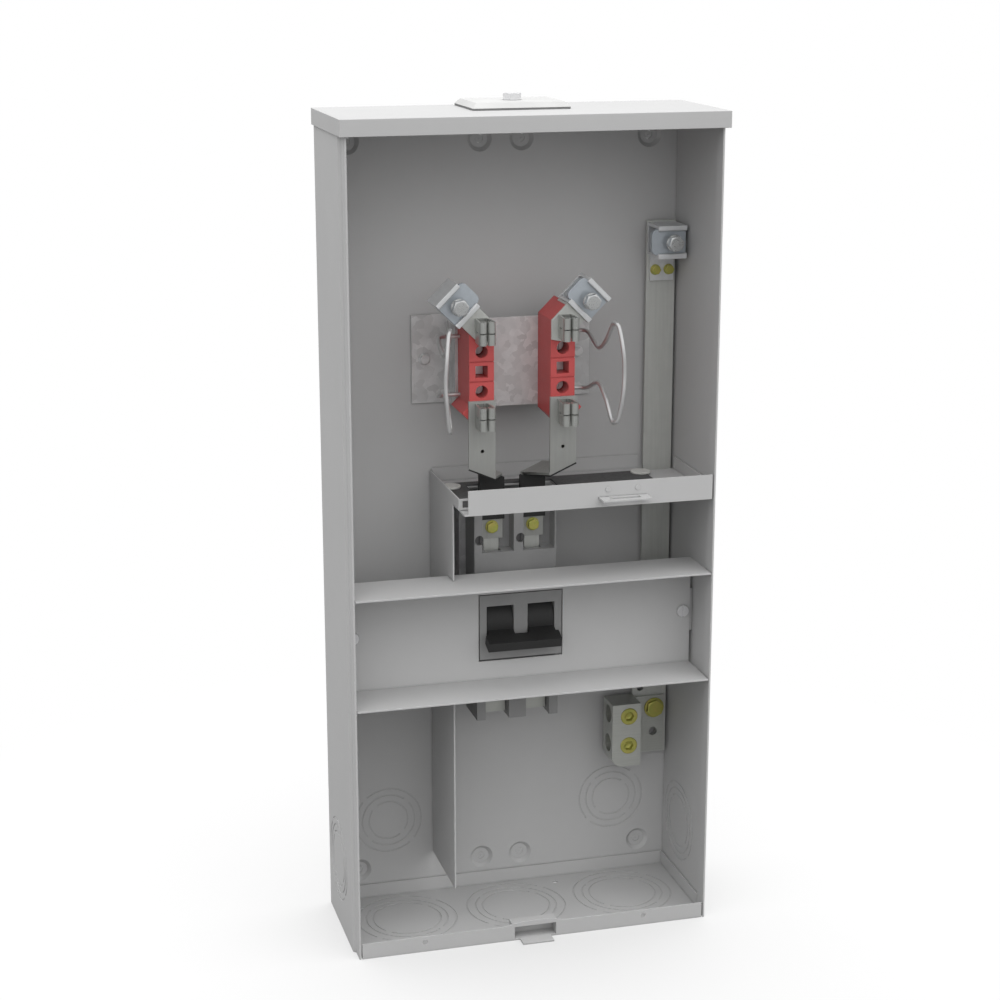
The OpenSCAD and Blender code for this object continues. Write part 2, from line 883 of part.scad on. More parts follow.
module hasp_rivets() {
  leg = box_d - 2 * sheet;
  color("silver") at_hasp_rivets() union() {
    rod_y(0, rivet_z, leg - sunk, box_d + sunk, rivet_r);
    rod_y(0, rivet_z, box_d, box_d + rivet_head_h, rivet_head_r);
    rod_y(0, rivet_z, leg - rivet_tail, leg, rivet_head_r);
  }
}

module dead_front() {
  color("silver") difference() {
    union() {
      slab(-front_half, front_half, front_rear, front_d, front_low, front_top);
      slab(-front_half, front_half, front_rear, box_d, front_top - sheet, front_top);
      slab(-front_half, front_half, front_rear, box_d, front_low, front_low + sheet);
    }
    slab(-front_hole_w / 2, front_hole_w / 2, front_rear - over, front_d + over,
      front_hole_z - front_hole_h / 2, front_hole_z + front_hole_h / 2);
    both_sides() rod_y(front_screw_x, front_mid, front_rear - over, front_d + over, screw_r + fit);
  }
}

module dead_front_screws() {
  color("silver") both_sides() difference() {
    union() {
      rod_y(front_screw_x, front_mid, carrier_front - front_screw_tail, front_d + sunk, screw_r);
      rod_y(front_screw_x, front_mid, front_d, front_d + front_head_h, screw_head_r);
    }
    slab(front_screw_x - slot_half_w, front_screw_x + slot_half_w, front_d + front_slot_low,
      front_d + front_head_h + over, front_mid - screw_head_r, front_mid + screw_head_r);
  }
}

module dead_front_brackets() {
  color("silver") both_sides() difference() {
    union() {
      slab(wall_in - fit - sheet, wall_in - fit, carrier_rear, carrier_front,
        front_mid - carrier_half, front_mid + carrier_half);
      slab(carrier_in, wall_in - fit, carrier_front - sheet, carrier_front,
        front_mid - carrier_half, front_mid + carrier_half);
    }
    rod_y(front_screw_x, front_mid, carrier_rear, carrier_front + over, screw_r + clear + fit);
  }
}

module block_bracket() {
  inner = bracket_half - bracket_t;
  color("lightgray") difference() {
    union() {
      slab(-bracket_half, bracket_half, bracket_front - bracket_t, bracket_front, bracket_low, bracket_high);
      both_sides() slab(inner, bracket_half, sheet, bracket_front, bracket_low, bracket_high);
      both_sides() slab(inner, bracket_foot, sheet, sheet + bracket_t, bracket_low, bracket_high);
    }
    both_sides() rod_y(bracket_screw_x, meter_z, sheet - over, sheet + bracket_t + over, screw_r);
    both_sides() at_block_holes() rod_y(0, 0, 0, bracket_front + over, block_screw_r);
  }
}

module bracket_screws() {
  color("silver") both_sides() head_screw(bracket_screw_x, meter_z, sheet + bracket_t, 0,
    screw_head_r, screw_head_h, screw_flats, screw_r);
}

module at_block_holes() {
  for (v = [-block_hole_v, block_hole_v]) {
    translate([meter_x, 0, meter_z + v]) children();
  }
}

function block_outline() = [
  [-block_half, slope_v],
  [ridge_u, ridge_v],
  [eave_u, eave_v],
  [block_half, neck_v],
  [block_half, -foot_neck_v],
  [foot_u, -foot_v],
  [foot_ridge_u, -foot_ridge_v],
  [-block_half, -slope_v]];

module right_block() {
  difference() {
    translate([meter_x, 0, meter_z]) upright(bracket_front, block_depth)
      polygon(block_outline());
    at_gable() slab(-over, gable + over, lug_rear - fit, block_front + over, -strap_t, over);
    at_block_holes() rod_y(0, 0, block_hole_floor, block_front + over, block_hole_r);
    at_block_holes() rod_y(0, 0, bracket_front - over, block_hole_floor + over, block_screw_r);
    translate([meter_x, 0, meter_z]) slab(-window_half_w, window_half_w,
      window_floor, block_front + over, -window_half_h, window_half_h);
    for (v = [-groove_v, groove_v]) {
      translate([meter_x, 0, meter_z + v]) slab(-block_half - over, block_half + over,
        block_front - groove_depth, block_front + over, -groove_half, groove_half);
    }
    for (v = [-wire_v, wire_v]) {
      rod_x(meter_x + block_half - wire_socket, meter_x + block_half + over, wire_depth, meter_z + v,
        wire_d / 2 + run);
    }
  }
}

module meter_block_right() {
  color("firebrick") right_block();
}

module meter_block_left() {
  color("firebrick") mirror([1, 0, 0]) right_block();
}

// Screws in the round wells and the plates in the square wells.
module block_screws() {
  color("silver") both_sides() translate([meter_x, 0, meter_z])
    slab(-window_half_w + fit, window_half_w - fit, window_floor, window_floor + window_plate_t,
      -window_half_h + fit, window_half_h - fit);
  color("silver") both_sides() at_block_holes() difference() {
    union() {
      rod_y(0, 0, bracket_front - bracket_t - block_tail, block_hole_floor + sunk, block_screw_r);
      rod_y(0, 0, block_hole_floor, block_hole_floor + block_head_h, block_head_r);
    }
    slab(-slot_half_w, slot_half_w, block_hole_floor + block_slot_low,
      block_hole_floor + block_head_h + over, -block_hole_r, block_hole_r);
  }
}

// Frame on the sloping outer face of the right block: X runs down the slope, Z points away.
module at_gable() {
  translate([meter_x + ridge_u, 0, meter_z + ridge_v]) rotate([0, 45, 0]) children();
}

module right_line_plate() {
  union() {
    translate([meter_x, 0, meter_z]) upright(block_front, strap_t) polygon([
      [-block_half, plate_low_in],
      [-block_half, slope_v],
      [ridge_u, ridge_v],
      [eave_u, eave_v],
      [plate_tip, plate_low_out]]);
    at_gable() slab(0, gable, lug_rear, plate_front, -strap_t, 0);
  }
}

module line_plate_right() {
  color("gray") right_line_plate();
}

module line_plate_left() {
  color("gray") mirror([1, 0, 0]) right_line_plate();
}

// Spring clip seen from above: a base, two leaves and two rolled lips.
module jaw_section() {
  lip_y = -plate_front - jaw_d + jaw_lip_r;
  lip_out = jaw_lip_x + jaw_lip_r;
  union() {
    translate([-jaw_base_half, -plate_front - jaw_leaf]) square([2 * jaw_base_half, jaw_leaf]);
    both_sides() polygon([
      [jaw_base_half - jaw_leaf, -plate_front],
      [jaw_base_half, -plate_front],
      [lip_out, lip_y],
      [lip_out - jaw_leaf, lip_y]]);
    both_sides() difference() {
      translate([jaw_lip_x, lip_y]) circle(r = jaw_lip_r);
      translate([jaw_lip_x, lip_y]) circle(r = jaw_lip_r - jaw_lip_t);
    }
  }
}

module jaw(z) {
  reach = jaw_base_half + over;
  difference() {
    translate([jaw_x, 0, z - jaw_h / 2]) linear_extrude(jaw_h) jaw_section();
    slab(jaw_x - reach, jaw_x + reach, plate_front + jaw_split_rear, plate_front + jaw_d + over,
      z - jaw_split, z + jaw_split);
  }
}

module meter_jaws() {
  color("gray") both_sides() {
    jaw(meter_z + jaw_pitch / 2);
    jaw(meter_z - jaw_pitch / 2);
  }
}

module at_line_lug() {
  at_gable() translate([lug_along, -lug_rear, lug_w / 2]) children();
}

module at_neutral_lug() {
  translate([neutral_x, -neutral_front, neutral_lug_z]) children();
}

// Channel with two inward lips. X runs along the lips and depth runs forward from its base.
module lug_channel() {
  half = lug_w / 2;
  lip_in = half - lug_lip;
  lip_r = lug_wall / 2;
  translate([-lug_l / 2, 0, 0]) along_x(0, lug_l) union() {
    translate([-lug_wall, -half]) square([lug_wall, lug_w]);
    for (s = [-1, 1]) {
      translate([-lug_h, s * (half - lug_wall / 2) - lug_wall / 2]) square([lug_h, lug_wall]);
      translate([-lug_h, s * (half + lip_in + lip_r) / 2 - (half - lip_in - lip_r) / 2])
        square([lug_wall, half - lip_in - lip_r]);
      translate([-lug_h + lip_r, s * (lip_in + lip_r)]) circle(r = lip_r);
    }
  }
}

// Plate with one rounded end, seen from the front.
module bridge_outline() {
  half = lug_in - fit;
  inner = half - bridge_corner;
  end = -lug_l / 2 - bridge_tail;
  union() {
    translate([end + bridge_corner, -half]) square([lug_l + bridge_tail - bridge_corner, 2 * half]);
    translate([end, -inner]) square([bridge_corner + over, 2 * inner]);
    for (z = [-inner, inner]) {
      translate([end + bridge_corner, z]) circle(r = bridge_corner);
    }
  }
}

module lug_bridge() {
  difference() {
    upright(bridge_rear, bridge_t) bridge_outline();
    rod_y(0, 0, bridge_rear - over, bridge_front + over, bolt_r + run);
  }
}

module lug_pad() {
  difference() {
    slab(-pad_half, pad_half, pad_rear, pad_front, -lug_in + pad_side, lug_in - pad_side);
    rod_y(0, 0, pad_front - pad_socket, pad_front + over, bolt_r + run);
  }
}

module lug_bolt() {
  union() {
    rod_y(0, 0, pad_front - pad_socket + clear, flange_rear + sunk, bolt_r);
    rod_y(0, 0, flange_rear, flange_rear + flange_t, flange_r);
    hex_y(0, 0, flange_rear, flange_rear + flange_t + head_t, bolt_flats);
  }
}

module line_lug_right() {
  color("lightsteelblue") at_line_lug() lug_channel();
}

module line_lug_left() {
  color("lightsteelblue") mirror([1, 0, 0]) at_line_lug() lug_channel();
}

module neutral_line_lug() {
  color("lightsteelblue") difference() {
    union() {
      at_neutral_lug() lug_channel();
      slab(neutral_x - neutral_tab_half, neutral_x + neutral_tab_half,
        neutral_front, neutral_front + lug_wall, neutral_tab_low, neutral_lug_z);
    }
    at_neutral_screws() rod_y(0, 0, 0, neutral_front + lug_wall + over, screw_r);
  }
}

module lug_bridges() {
  color("slategray") {
    both_sides() at_line_lug() lug_bridge();
    at_neutral_lug() lug_bridge();
  }
}

module lug_pad_right() {
  color("slategray") at_line_lug() lug_pad();
}

module lug_pad_left() {
  color("slategray") mirror([1, 0, 0]) at_line_lug() lug_pad();
}

module lug_pad_neutral() {
  color("slategray") at_neutral_lug() lug_pad();
}

module lug_bolt_right() {
  color("silver") at_line_lug() lug_bolt();
}

module lug_bolt_left() {
  color("silver") mirror([1, 0, 0]) at_line_lug() lug_bolt();
}

module lug_bolt_neutral() {
  color("silver") at_neutral_lug() lug_bolt();
}

function unit(v) = v / norm(v);

// Points round a bend that starts along one direction and leaves along another.
function bend_knots(start, way, leave) = let (
  side = unit(leave - (leave * way) * way),
  turn = acos(way * leave))
  [for (a = [0, turn / 2, turn]) start + wire_bend * (sin(a) * way + (1 - cos(a)) * side)];

// Right support wire from the block at the top, out to the meter and back to the block.
function wire_knots() = let (
  out = meter_x + block_half,
  root = concat(
    [[out - wire_socket + sunk, -wire_depth, wire_v]],
    [for (r = wire_root) [out + r[0], -wire_depth - r[1], wire_v + r[2]]]),
  turn = [out + wire_turn[0], -wire_depth - wire_turn[1], wire_v + wire_turn[2]],
  tip = [out + wire_tip[0], -wire_depth - wire_front, wire_tip[1]],
  half = concat(root, bend_knots(turn, unit(turn - root[5]), unit(wire_leave)), [tip]),
  middle = [[out + wire_bow, -wire_depth - wire_front, 0]],
  back = [for (i = [len(half) - 1 : -1 : 0]) [half[i][0], half[i][1], -half[i][2]]])
  [for (p = concat(half, middle, back)) [p[0], p[1], meter_z + p[2]]];

function knot(k, i) = k[max(0, min(len(k) - 1, i))];

function spline(a, b, c, d, t) =
  0.5 * (2 * b + (c - a) * t + (2 * a - 5 * b + 4 * c - d) * t * t + (3 * b - a - 3 * c + d) * t * t * t);

function wire_path(k) = concat(
  [for (i = [0 : len(k) - 2]) for (s = [0 : wire_steps - 1])
    spline(knot(k, i - 1), knot(k, i), knot(k, i + 1), knot(k, i + 2), s / wire_steps)],
  [k[len(k) - 1]]);

function tangents(p) = [for (i = [0 : len(p) - 1])
  unit(p[min(i + 1, len(p) - 1)] - p[max(i - 1, 0)])];

function normals(t, i, n) = i == len(t) ? [] :
  let (m = unit(n - (n * t[i]) * t[i])) concat([m], normals(t, i + 1, m));

module right_wire() {
  p = wire_path(wire_knots());
  t = tangents(p);
  n = normals(t, 0, [0, 1, 0]);
  last = len(p) - 1;
  points = [for (i = [0 : last]) for (s = [0 : wire_sides - 1])
    let (a = 360 * s / wire_sides)
    p[i] + wire_d / 2 * (cos(a) * n[i] + sin(a) * cross(t[i], n[i]))];
  walls = [for (i = [0 : last - 1]) for (s = [0 : wire_sides - 1])
    let (a = i * wire_sides + s, b = i * wire_sides + (s + 1) % wire_sides)
    [a, a + wire_sides, b + wire_sides, b]];
  ends = [
    [for (s = [0 : wire_sides - 1]) s],
    [for (s = [wire_sides - 1 : -1 : 0]) last * wire_sides + s]];
  polyhedron(points, concat(walls, ends));
}

module support_wire_right() {
  color("gainsboro") right_wire();
}

module support_wire_left() {
  color("gainsboro") mirror([1, 0, 0]) right_wire();
}

// Frame on the folded edge of the right bus: X runs up the edge, Y runs back, Z is its upper face.
module at_fold() {
  translate([bus_x0, -plate_front, bus_fold_in]) rotate([0, -bus_slant, 0]) children();
}

module fold_sheet(low, high, back) {
  share = back / bus_run;
  edge = bus_w / cos(bus_slant);
  at_fold() translate([0, 0, low]) linear_extrude(high - low) polygon([
    [0, 0],
    [edge, 0],
    [edge + (fold_out - edge) * share, back],
    [fold_in * share, back]]);
}

function fold_height(x) = bus_fold_in + (x - bus_x0) * tan(bus_slant);

module right_bus() {
  lift = strap_t / cos(bus_slant);
  difference() {
    union() {
      upright(block_front, strap_t) polygon([
        [bus_x0, bus_fold_in],
        [bus_x1, bus_fold_z],
        [bus_x1, bus_top],
        [bus_x0, bus_top]]);
      fold_sheet(0, strap_t, bus_run);
      upright(bus_back, strap_t) polygon([
        [bus_low_x0, bus_end],
        [bus_low_x1, bus_end],
        [bus_low_x1, fold_height(bus_low_x1) + lift],
        [bus_low_x0, fold_height(bus_low_x0) + lift]]);
    }
    rod_y(meter_x, bus_fold_z + bus_hole_up, block_front - over, plate_front + over, bus_hole_r);
    rod_y(pole_x, line_screw_z, bus_back - over, bus_back_front + over, line_screw_r);
  }
}

module load_bus_right() {
  color("gray") right_bus();
}

module load_bus_left() {
  color("gray") mirror([1, 0, 0]) right_bus();
}

module right_sleeve() {
  x0 = bus_low_x0 - sleeve_t - run;
  x1 = bus_low_x1 + sleeve_t + run;
  gap = run / cos(bus_slant);
  difference() {
    union() {
      upright(bus_back - sleeve_t, strap_t + 2 * sleeve_t) polygon([
        [x0, sleeve_low],
        [x1, sleeve_low],
        [x1, fold_height(x1) - gap],
        [x0, fold_height(x0) - gap]]);
      fold_sheet(-sleeve_t, -run, plate_front - bus_back_front - sleeve_short);
    }
    slab(bus_low_x0 - run, bus_low_x1 + run, bus_back - run, bus_back_front + run,
      bus_end, bus_fold_z + sleeve_lap);
  }
}

module bus_sleeve_right() {
  color("black") right_sleeve();
}

module bus_sleeve_left() {
  color("black") mirror([1, 0, 0]) right_sleeve();
}

module at_neutral_screws() {
  for (x = [neutral_x - neutral_screw_dx, neutral_x + neutral_screw_dx]) {
    translate([x, 0, neutral_screw_z]) children();
  }
}

// Strap with a wing at its lower left.
module neutral_outline() {
  left = neutral_x - neutral_w / 2;
  right = neutral_x + neutral_w / 2;
  polygon([
    [left, neutral_low],
    [right, neutral_low],
    [right, neutral_top],
    [left, neutral_top],
    [left, wing_high],
    [left - wing, wing_high - wing],
    [left - wing, wing_low + wing],
    [left, wing_low]]);
}

module neutral_strap() {
  color("gray") difference() {
    upright(neutral_rear, neutral_t) neutral_outline();
    at_neutral_screws() rod_y(0, 0, 0, neutral_front + over, screw_r);
    rod_y(bond_x, bond_z, 0, neutral_front + over, bond_r);
    rod_y(spare_x, spare_z, 0, neutral_front + over, spare_r);
    rod_y(wing_hole_x, wing_hole_z, 0, neutral_front + over, wing_hole_r);
  }
}

module neutral_spacers() {
  color("dimgray") for (i = [0 : 2]) {
    rod_y(neutral_x, neutral_lug_z - spacer_drop - i * spacer_pitch, sheet, neutral_rear, spacer_r);
  }
}

module neutral_screws() {
  color("goldenrod") at_neutral_screws() head_screw(0, 0, neutral_front + lug_wall,
    neutral_rear - neutral_screw_tail, neutral_head_r, neutral_head_h, neutral_flats, screw_r);
}

module load_lug_outline() {
  corner = load_lug_corner;
  union() {
    translate([load_lug_x0 + corner, load_lug_low])
      square([load_lug_x1 - load_lug_x0 - corner, load_lug_high - load_lug_low]);
    translate([load_lug_x0, load_lug_low + corner])
      square([load_lug_x1 - load_lug_x0, load_lug_high - load_lug_low - corner]);
    translate([load_lug_x0 + corner, load_lug_low + corner]) circle(r = corner);
  }
}

function load_lug_heights() = [load_lug_z, load_lug_z - load_lug_pitch];

module neutral_load_lug() {
  color("darkgray") difference() {
    union() {
      upright(neutral_front, load_lug_front - neutral_front) load_lug_outline();
      slab(load_lug_x1 - over, tongue_end, neutral_front, tongue_front,
        load_lug_low + tongue_t, load_lug_high - tongue_t);
    }
    for (z = load_lug_heights()) {
      rod_x(load_lug_x0 - over, load_lug_x1 + over, load_lug_axis, z, load_lug_bore / 2);
      rod_y(load_lug_mid, z, load_lug_axis, load_lug_front + over, set_screw_r + run);
    }
    rod_y(bond_x, bond_z, 0, tongue_front + over, bond_r);
    rod_y(spare_x, spare_z, 0, tongue_front + over, spare_r);
  }
}

module set_screw(z) {
  difference() {
    rod_y(load_lug_mid, z, set_screw_rear, load_lug_front + set_screw_proud, set_screw_r);
    hex_y(load_lug_mid, z, load_lug_front - set_screw_socket, load_lug_front + over, set_screw_flats);
  }
}

module set_screw_upper() {
  color("goldenrod") set_screw(load_lug_z);
}

module set_screw_lower() {
  color("goldenrod") set_screw(load_lug_z - load_lug_pitch);
}

module bonding_screw() {
  color("goldenrod") head_screw(bond_x, bond_z, tongue_front, -bond_tail,
    bond_head_r, bond_head_h, bond_flats, bond_r);
}

module breaker_bracket() {
  low = breaker_low + rail_in;
  high = breaker_top - rail_in;
  color("lightgray") difference() {
    union() {
      slab(-rail_half, rail_half, breaker_rear - rail_t, breaker_rear, low, high);
      both_sides() slab(rail_half - rail_t, rail_half, sheet, breaker_rear, low, high);
      both_sides() slab(rail_foot, rail_half, sheet, sheet + rail_t, low, high);
    }
    at_cover_screws() rod_y(0, 0, 0, breaker_rear + over, cover_screw_r);
  }
}

module at_cover_screws() {
  for (x = [cover_screw_x - pole_w, cover_screw_x]) {
    translate([x, 0, cover_screw_z]) children();
  }
}

// Repeats a shape drawn for the right pole on both poles.
module both_poles() {
  children();
  translate([-pole_w, 0, 0]) children();
}

// Hollows shared by the two halves of the breaker.
module breaker_hollows() {
  both_poles() slab(pocket_in, pocket_out, pocket_floor, nose_d + over, line_pocket_z, breaker_top + over);
  both_sides() slab(pole_x - load_pocket_half, pole_x + load_pocket_half, load_pocket_rear, nose_d + over,
    breaker_low - over, load_pocket_z);
  both_sides() slab(cavity_in, cavity_out, cavity_rear, split_d + over, cavity_low, cavity_high);
  both_sides() slab(pole_x - contact_half - fit, pole_x + contact_half + fit, pocket_floor, split_d + over,
    cavity_high - over, line_pocket_z + over);
  both_sides() slab(pole_x - trip_half - fit, pole_x + trip_half + fit, trip_d - fit, trip_d + trip_t + fit,
    load_pocket_z - over, cavity_low + over);
  rod_x(-cavity_out, cavity_out, arm_depth, arm_z, bar_r + bar_play);
  rod_x(-cavity_out - stub_h - clear, cavity_out + stub_h + clear, arm_depth, arm_z, stub_r + run);
  rod_x(-pin_half, pin_half, split_d, handle_z, pin_r + run);
  at_cover_screws() rod_y(0, 0, breaker_rear - over, nose_d, cover_screw_r);
  at_cover_screws() rod_y(0, 0, cover_screw_seat, nose_d, cover_bore_r);
}

module breaker_base() {
  color("dimgray") difference() {
    slab(-breaker_half, breaker_half, breaker_rear, split_d, breaker_low, breaker_top);
    breaker_hollows();
  }
}

module breaker_cover() {
  color("dimgray") difference() {
    union() {
      slab(-breaker_half, breaker_half, split_d, shoulder_d, breaker_low, breaker_top);
      slab(-breaker_half, breaker_half, shoulder_d - over, nose_d, nose_low, nose_high);
      slab(-breaker_half, breaker_half, shoulder_d - over, fin_d, breaker_low, fin_high);
    }
    breaker_hollows();
    both_sides() rod_x(handle_in - handle_play, handle_out + handle_play, split_d, handle_z,
      sector_r + clear);
    both_sides() slab(handle_in - handle_play, handle_out + handle_play, split_d, nose_d + over,
      handle_z - slot_v, handle_z + slot_v);
  }
}

// Side view of one handle half, pointing forward and level, about its pivot.
module handle_section(from, to) {
  translate([-to, -handle_half]) square([to - from, 2 * handle_half]);
}

module handle_sector() {
  reach = 2 * sector_r;
  difference() {
    intersection() {
      circle(r = sector_r);
      polygon([
        [0, 0],
        [-reach * cos(sector_span), reach * sin(sector_span)],
        [-reach, reach * sin(sector_span)],
        [-reach, -reach * sin(sector_span)],
        [-reach * cos(sector_span), -reach * sin(sector_span)]]);
    }
    circle(r = sector_hole_r);
  }
}

module at_handle() {
  translate([0, -split_d, handle_z]) rotate([handle_tilt, 0, 0]) children();
}

module breaker_handle() {
  color("black") difference() {
    at_handle() union() {
      both_sides() along_x(handle_in, handle_out - handle_in) {
        handle_sector();
        circle(r = hub_r);
        handle_section(handle_root, handle_lap);
      }
      along_x(-tie_half, 2 * tie_half) handle_section(tie_rear, handle_reach);
    }
    rod_x(-pole_w, pole_w, split_d, handle_z, pin_r + run);
  }
}

module handle_pin() {
  color("silver") rod_x(-pin_half + clear, pin_half - clear, split_d, handle_z, pin_r);
}

module contact_arms() {
  color("peru") translate([0, -arm_depth, arm_z]) rotate([-arm_tilt, 0, 0]) union() {
    rod_x(-cavity_out + handle_play, cavity_out - handle_play, 0, 0, bar_r);
    rod_x(-cavity_out - stub_h, cavity_out + stub_h, 0, 0, stub_r);
    both_sides() slab(pole_x - arm_half, pole_x + arm_half, -arm_t / 2, arm_t / 2, 0, arm_len);
    both_sides() rod_y(pole_x, arm_len - contact_in, 0, arm_t / 2 + contact_h, contact_r);
  }
}

module fixed_contacts() {
  color("peru") both_sides() difference() {
    union() {
      slab(pole_x - contact_half, pole_x + contact_half, pocket_floor, bus_back,
        arm_z + arm_len - contact_lap, breaker_top - contact_end);
      rod_y(pole_x, arm_z + arm_len - contact_in, arm_depth + arm_t / 2 + contact_h + clear,
        pocket_floor + sunk, contact_r);
    }
    rod_y(pole_x, line_screw_z, pocket_floor - over, bus_back + over, line_screw_r);
  }
}

module line_screws() {
  color("goldenrod") both_sides() head_screw(pole_x, line_screw_z, bus_back_front, pocket_floor,
    line_head_r, line_head_h, line_flats, line_screw_r);
}

module load_lugs() {
  color("darkgray") both_sides() difference() {
    slab(pole_x - lug_block_half, pole_x + lug_block_half, lug_block_rear, lug_block_front,
      lug_block_low, lug_block_high);
    rod_z(pole_x, lug_block_axis, lug_block_low - over, lug_block_high + over, lug_block_bore_r);
    rod_y(pole_x, lug_block_z, lug_block_axis, lug_block_front + over, lug_screw_r);
  }
}

module load_lug_screws() {
  color("goldenrod") both_sides() difference() {
    rod_y(pole_x, lug_block_z, lug_screw_rear, lug_block_front + sunk, lug_screw_r);
    hex_y(pole_x, lug_block_z, lug_block_front - lug_screw_socket, lug_block_front + over, lug_screw_flats);
  }
}

module trip_units() {
  color("peru") both_sides() union() {
    slab(pole_x - trip_half, pole_x + trip_half, trip_d, trip_d + trip_t, lug_block_low,
      arm_z - bar_r - trip_short);
    slab(pole_x - trip_half, pole_x + trip_half, trip_d, trip_d + trip_block, cavity_low,
      arm_z - bar_r - trip_short);
  }
}

module cover_screws() {
  color("silver") at_cover_screws() difference() {
    union() {
      rod_y(0, 0, breaker_rear - bracket_t - cover_screw_tail, cover_screw_seat + sunk, cover_screw_r);
      rod_y(0, 0, cover_screw_seat, cover_screw_seat + cover_head_h, cover_head_r);
    }
    slab(-slot_half_w, slot_half_w, cover_screw_seat + cover_slot_low, cover_screw_seat + cover_head_h + over,
      -cover_head_r, cover_head_r);
  }
}

in_frame() back_and_sides();
in_frame() bottom_pan();
in_frame() top_cap();
in_frame() closing_plate();
in_frame() closing_gasket();
in_frame() closing_bolt();
in_frame() closing_bar();
in_frame() divider();
in_frame() shelf();
in_frame() shelf_barrier();
in_frame() barrier_buttons();
in_frame() seal_hasp();
in_frame() hasp_rivets();
in_frame() dead_front();
in_frame() dead_front_screws();
in_frame() dead_front_brackets();
in_frame() block_bracket();
in_frame() bracket_screws();
in_frame() meter_block_left();
in_frame() meter_block_right();
in_frame() block_screws();
in_frame() line_plate_left();
in_frame() line_plate_right();
in_frame() meter_jaws();
in_frame() line_lug_left();
in_frame() line_lug_right();
in_frame() neutral_line_lug();
in_frame() lug_bridges();
in_frame() lug_pad_left();
in_frame() lug_pad_right();
in_frame() lug_pad_neutral();
in_frame() lug_bolt_left();
in_frame() lug_bolt_right();
in_frame() lug_bolt_neutral();
in_frame() support_wire_left();
in_frame() support_wire_right();
in_frame() load_bus_left();
in_frame() load_bus_right();
in_frame() bus_sleeve_left();
in_frame() bus_sleeve_right();
in_frame() neutral_strap();
in_frame() neutral_spacers();
in_frame() neutral_screws();
in_frame() neutral_load_lug();
in_frame() set_screw_upper();
in_frame() set_screw_lower();
in_frame() bonding_screw();
in_frame() breaker_bracket();
in_frame() breaker_base();
in_frame() breaker_cover();
in_frame() breaker_handle();
in_frame() handle_pin();
in_frame() contact_arms();
in_frame() fixed_contacts();
in_frame() line_screws();
in_frame() load_lugs();
in_frame() load_lug_screws();
in_frame() trip_units();
in_frame() cover_screws();
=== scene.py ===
"""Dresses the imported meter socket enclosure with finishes, rounded edges and machined fasteners."""

import json
import math
from collections import namedtuple

import bmesh
import bpy
from mathutils import Matrix, Vector


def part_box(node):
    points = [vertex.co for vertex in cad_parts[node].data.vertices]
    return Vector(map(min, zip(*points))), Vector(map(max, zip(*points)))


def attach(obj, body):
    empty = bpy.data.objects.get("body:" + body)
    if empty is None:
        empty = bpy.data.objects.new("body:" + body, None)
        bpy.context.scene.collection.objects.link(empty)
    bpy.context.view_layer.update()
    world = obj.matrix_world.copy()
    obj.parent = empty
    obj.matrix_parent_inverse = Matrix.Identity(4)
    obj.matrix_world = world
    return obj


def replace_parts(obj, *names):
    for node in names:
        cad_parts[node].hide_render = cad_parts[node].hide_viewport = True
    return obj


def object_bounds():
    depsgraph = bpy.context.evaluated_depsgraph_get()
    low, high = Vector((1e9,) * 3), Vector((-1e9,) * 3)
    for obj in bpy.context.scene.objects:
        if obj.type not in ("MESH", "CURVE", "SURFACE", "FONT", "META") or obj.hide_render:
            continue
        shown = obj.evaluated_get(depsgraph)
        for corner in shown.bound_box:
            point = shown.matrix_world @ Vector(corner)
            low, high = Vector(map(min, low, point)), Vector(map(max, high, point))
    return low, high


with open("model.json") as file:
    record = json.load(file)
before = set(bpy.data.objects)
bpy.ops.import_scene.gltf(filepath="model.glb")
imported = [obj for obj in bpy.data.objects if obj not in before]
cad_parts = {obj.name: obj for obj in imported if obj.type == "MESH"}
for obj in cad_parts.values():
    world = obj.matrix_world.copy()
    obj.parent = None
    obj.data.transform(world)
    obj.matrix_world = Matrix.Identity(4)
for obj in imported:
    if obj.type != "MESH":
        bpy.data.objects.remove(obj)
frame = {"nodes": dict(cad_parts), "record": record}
CAD_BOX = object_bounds()

bl_info = {
    "name": "Meter Socket Enclosure",
    "version": (1, 0, 0),
    "blender": (4, 5, 0),
    "location": "View3D > Sidebar > Meter Box",
    "description": "Finishes, fasteners, wires and studio for a meter socket with a main breaker",
    "category": "Object",
}

MM = 0.001
SLOT_OF = {part["node"]: part["material_slot"] for part in frame["record"]["subparts"]}
BODY_OF = {
    node: body
    for body, nodes in frame["record"]["behaviour"]["bodies"].items()
    for node in nodes
}


def colour_property(label, about, rgb):
    return bpy.props.FloatVectorProperty(
        name=label,
        description=about,
        default=rgb,
        size=3,
        min=0.0,
        max=1.0,
        subtype="COLOR",
    )


def length_property(label, about, millimetres):
    return bpy.props.FloatProperty(
        name=label,
        description=about,
        default=millimetres * MM,
        min=0.0,
        precision=5,
        unit="LENGTH",
    )


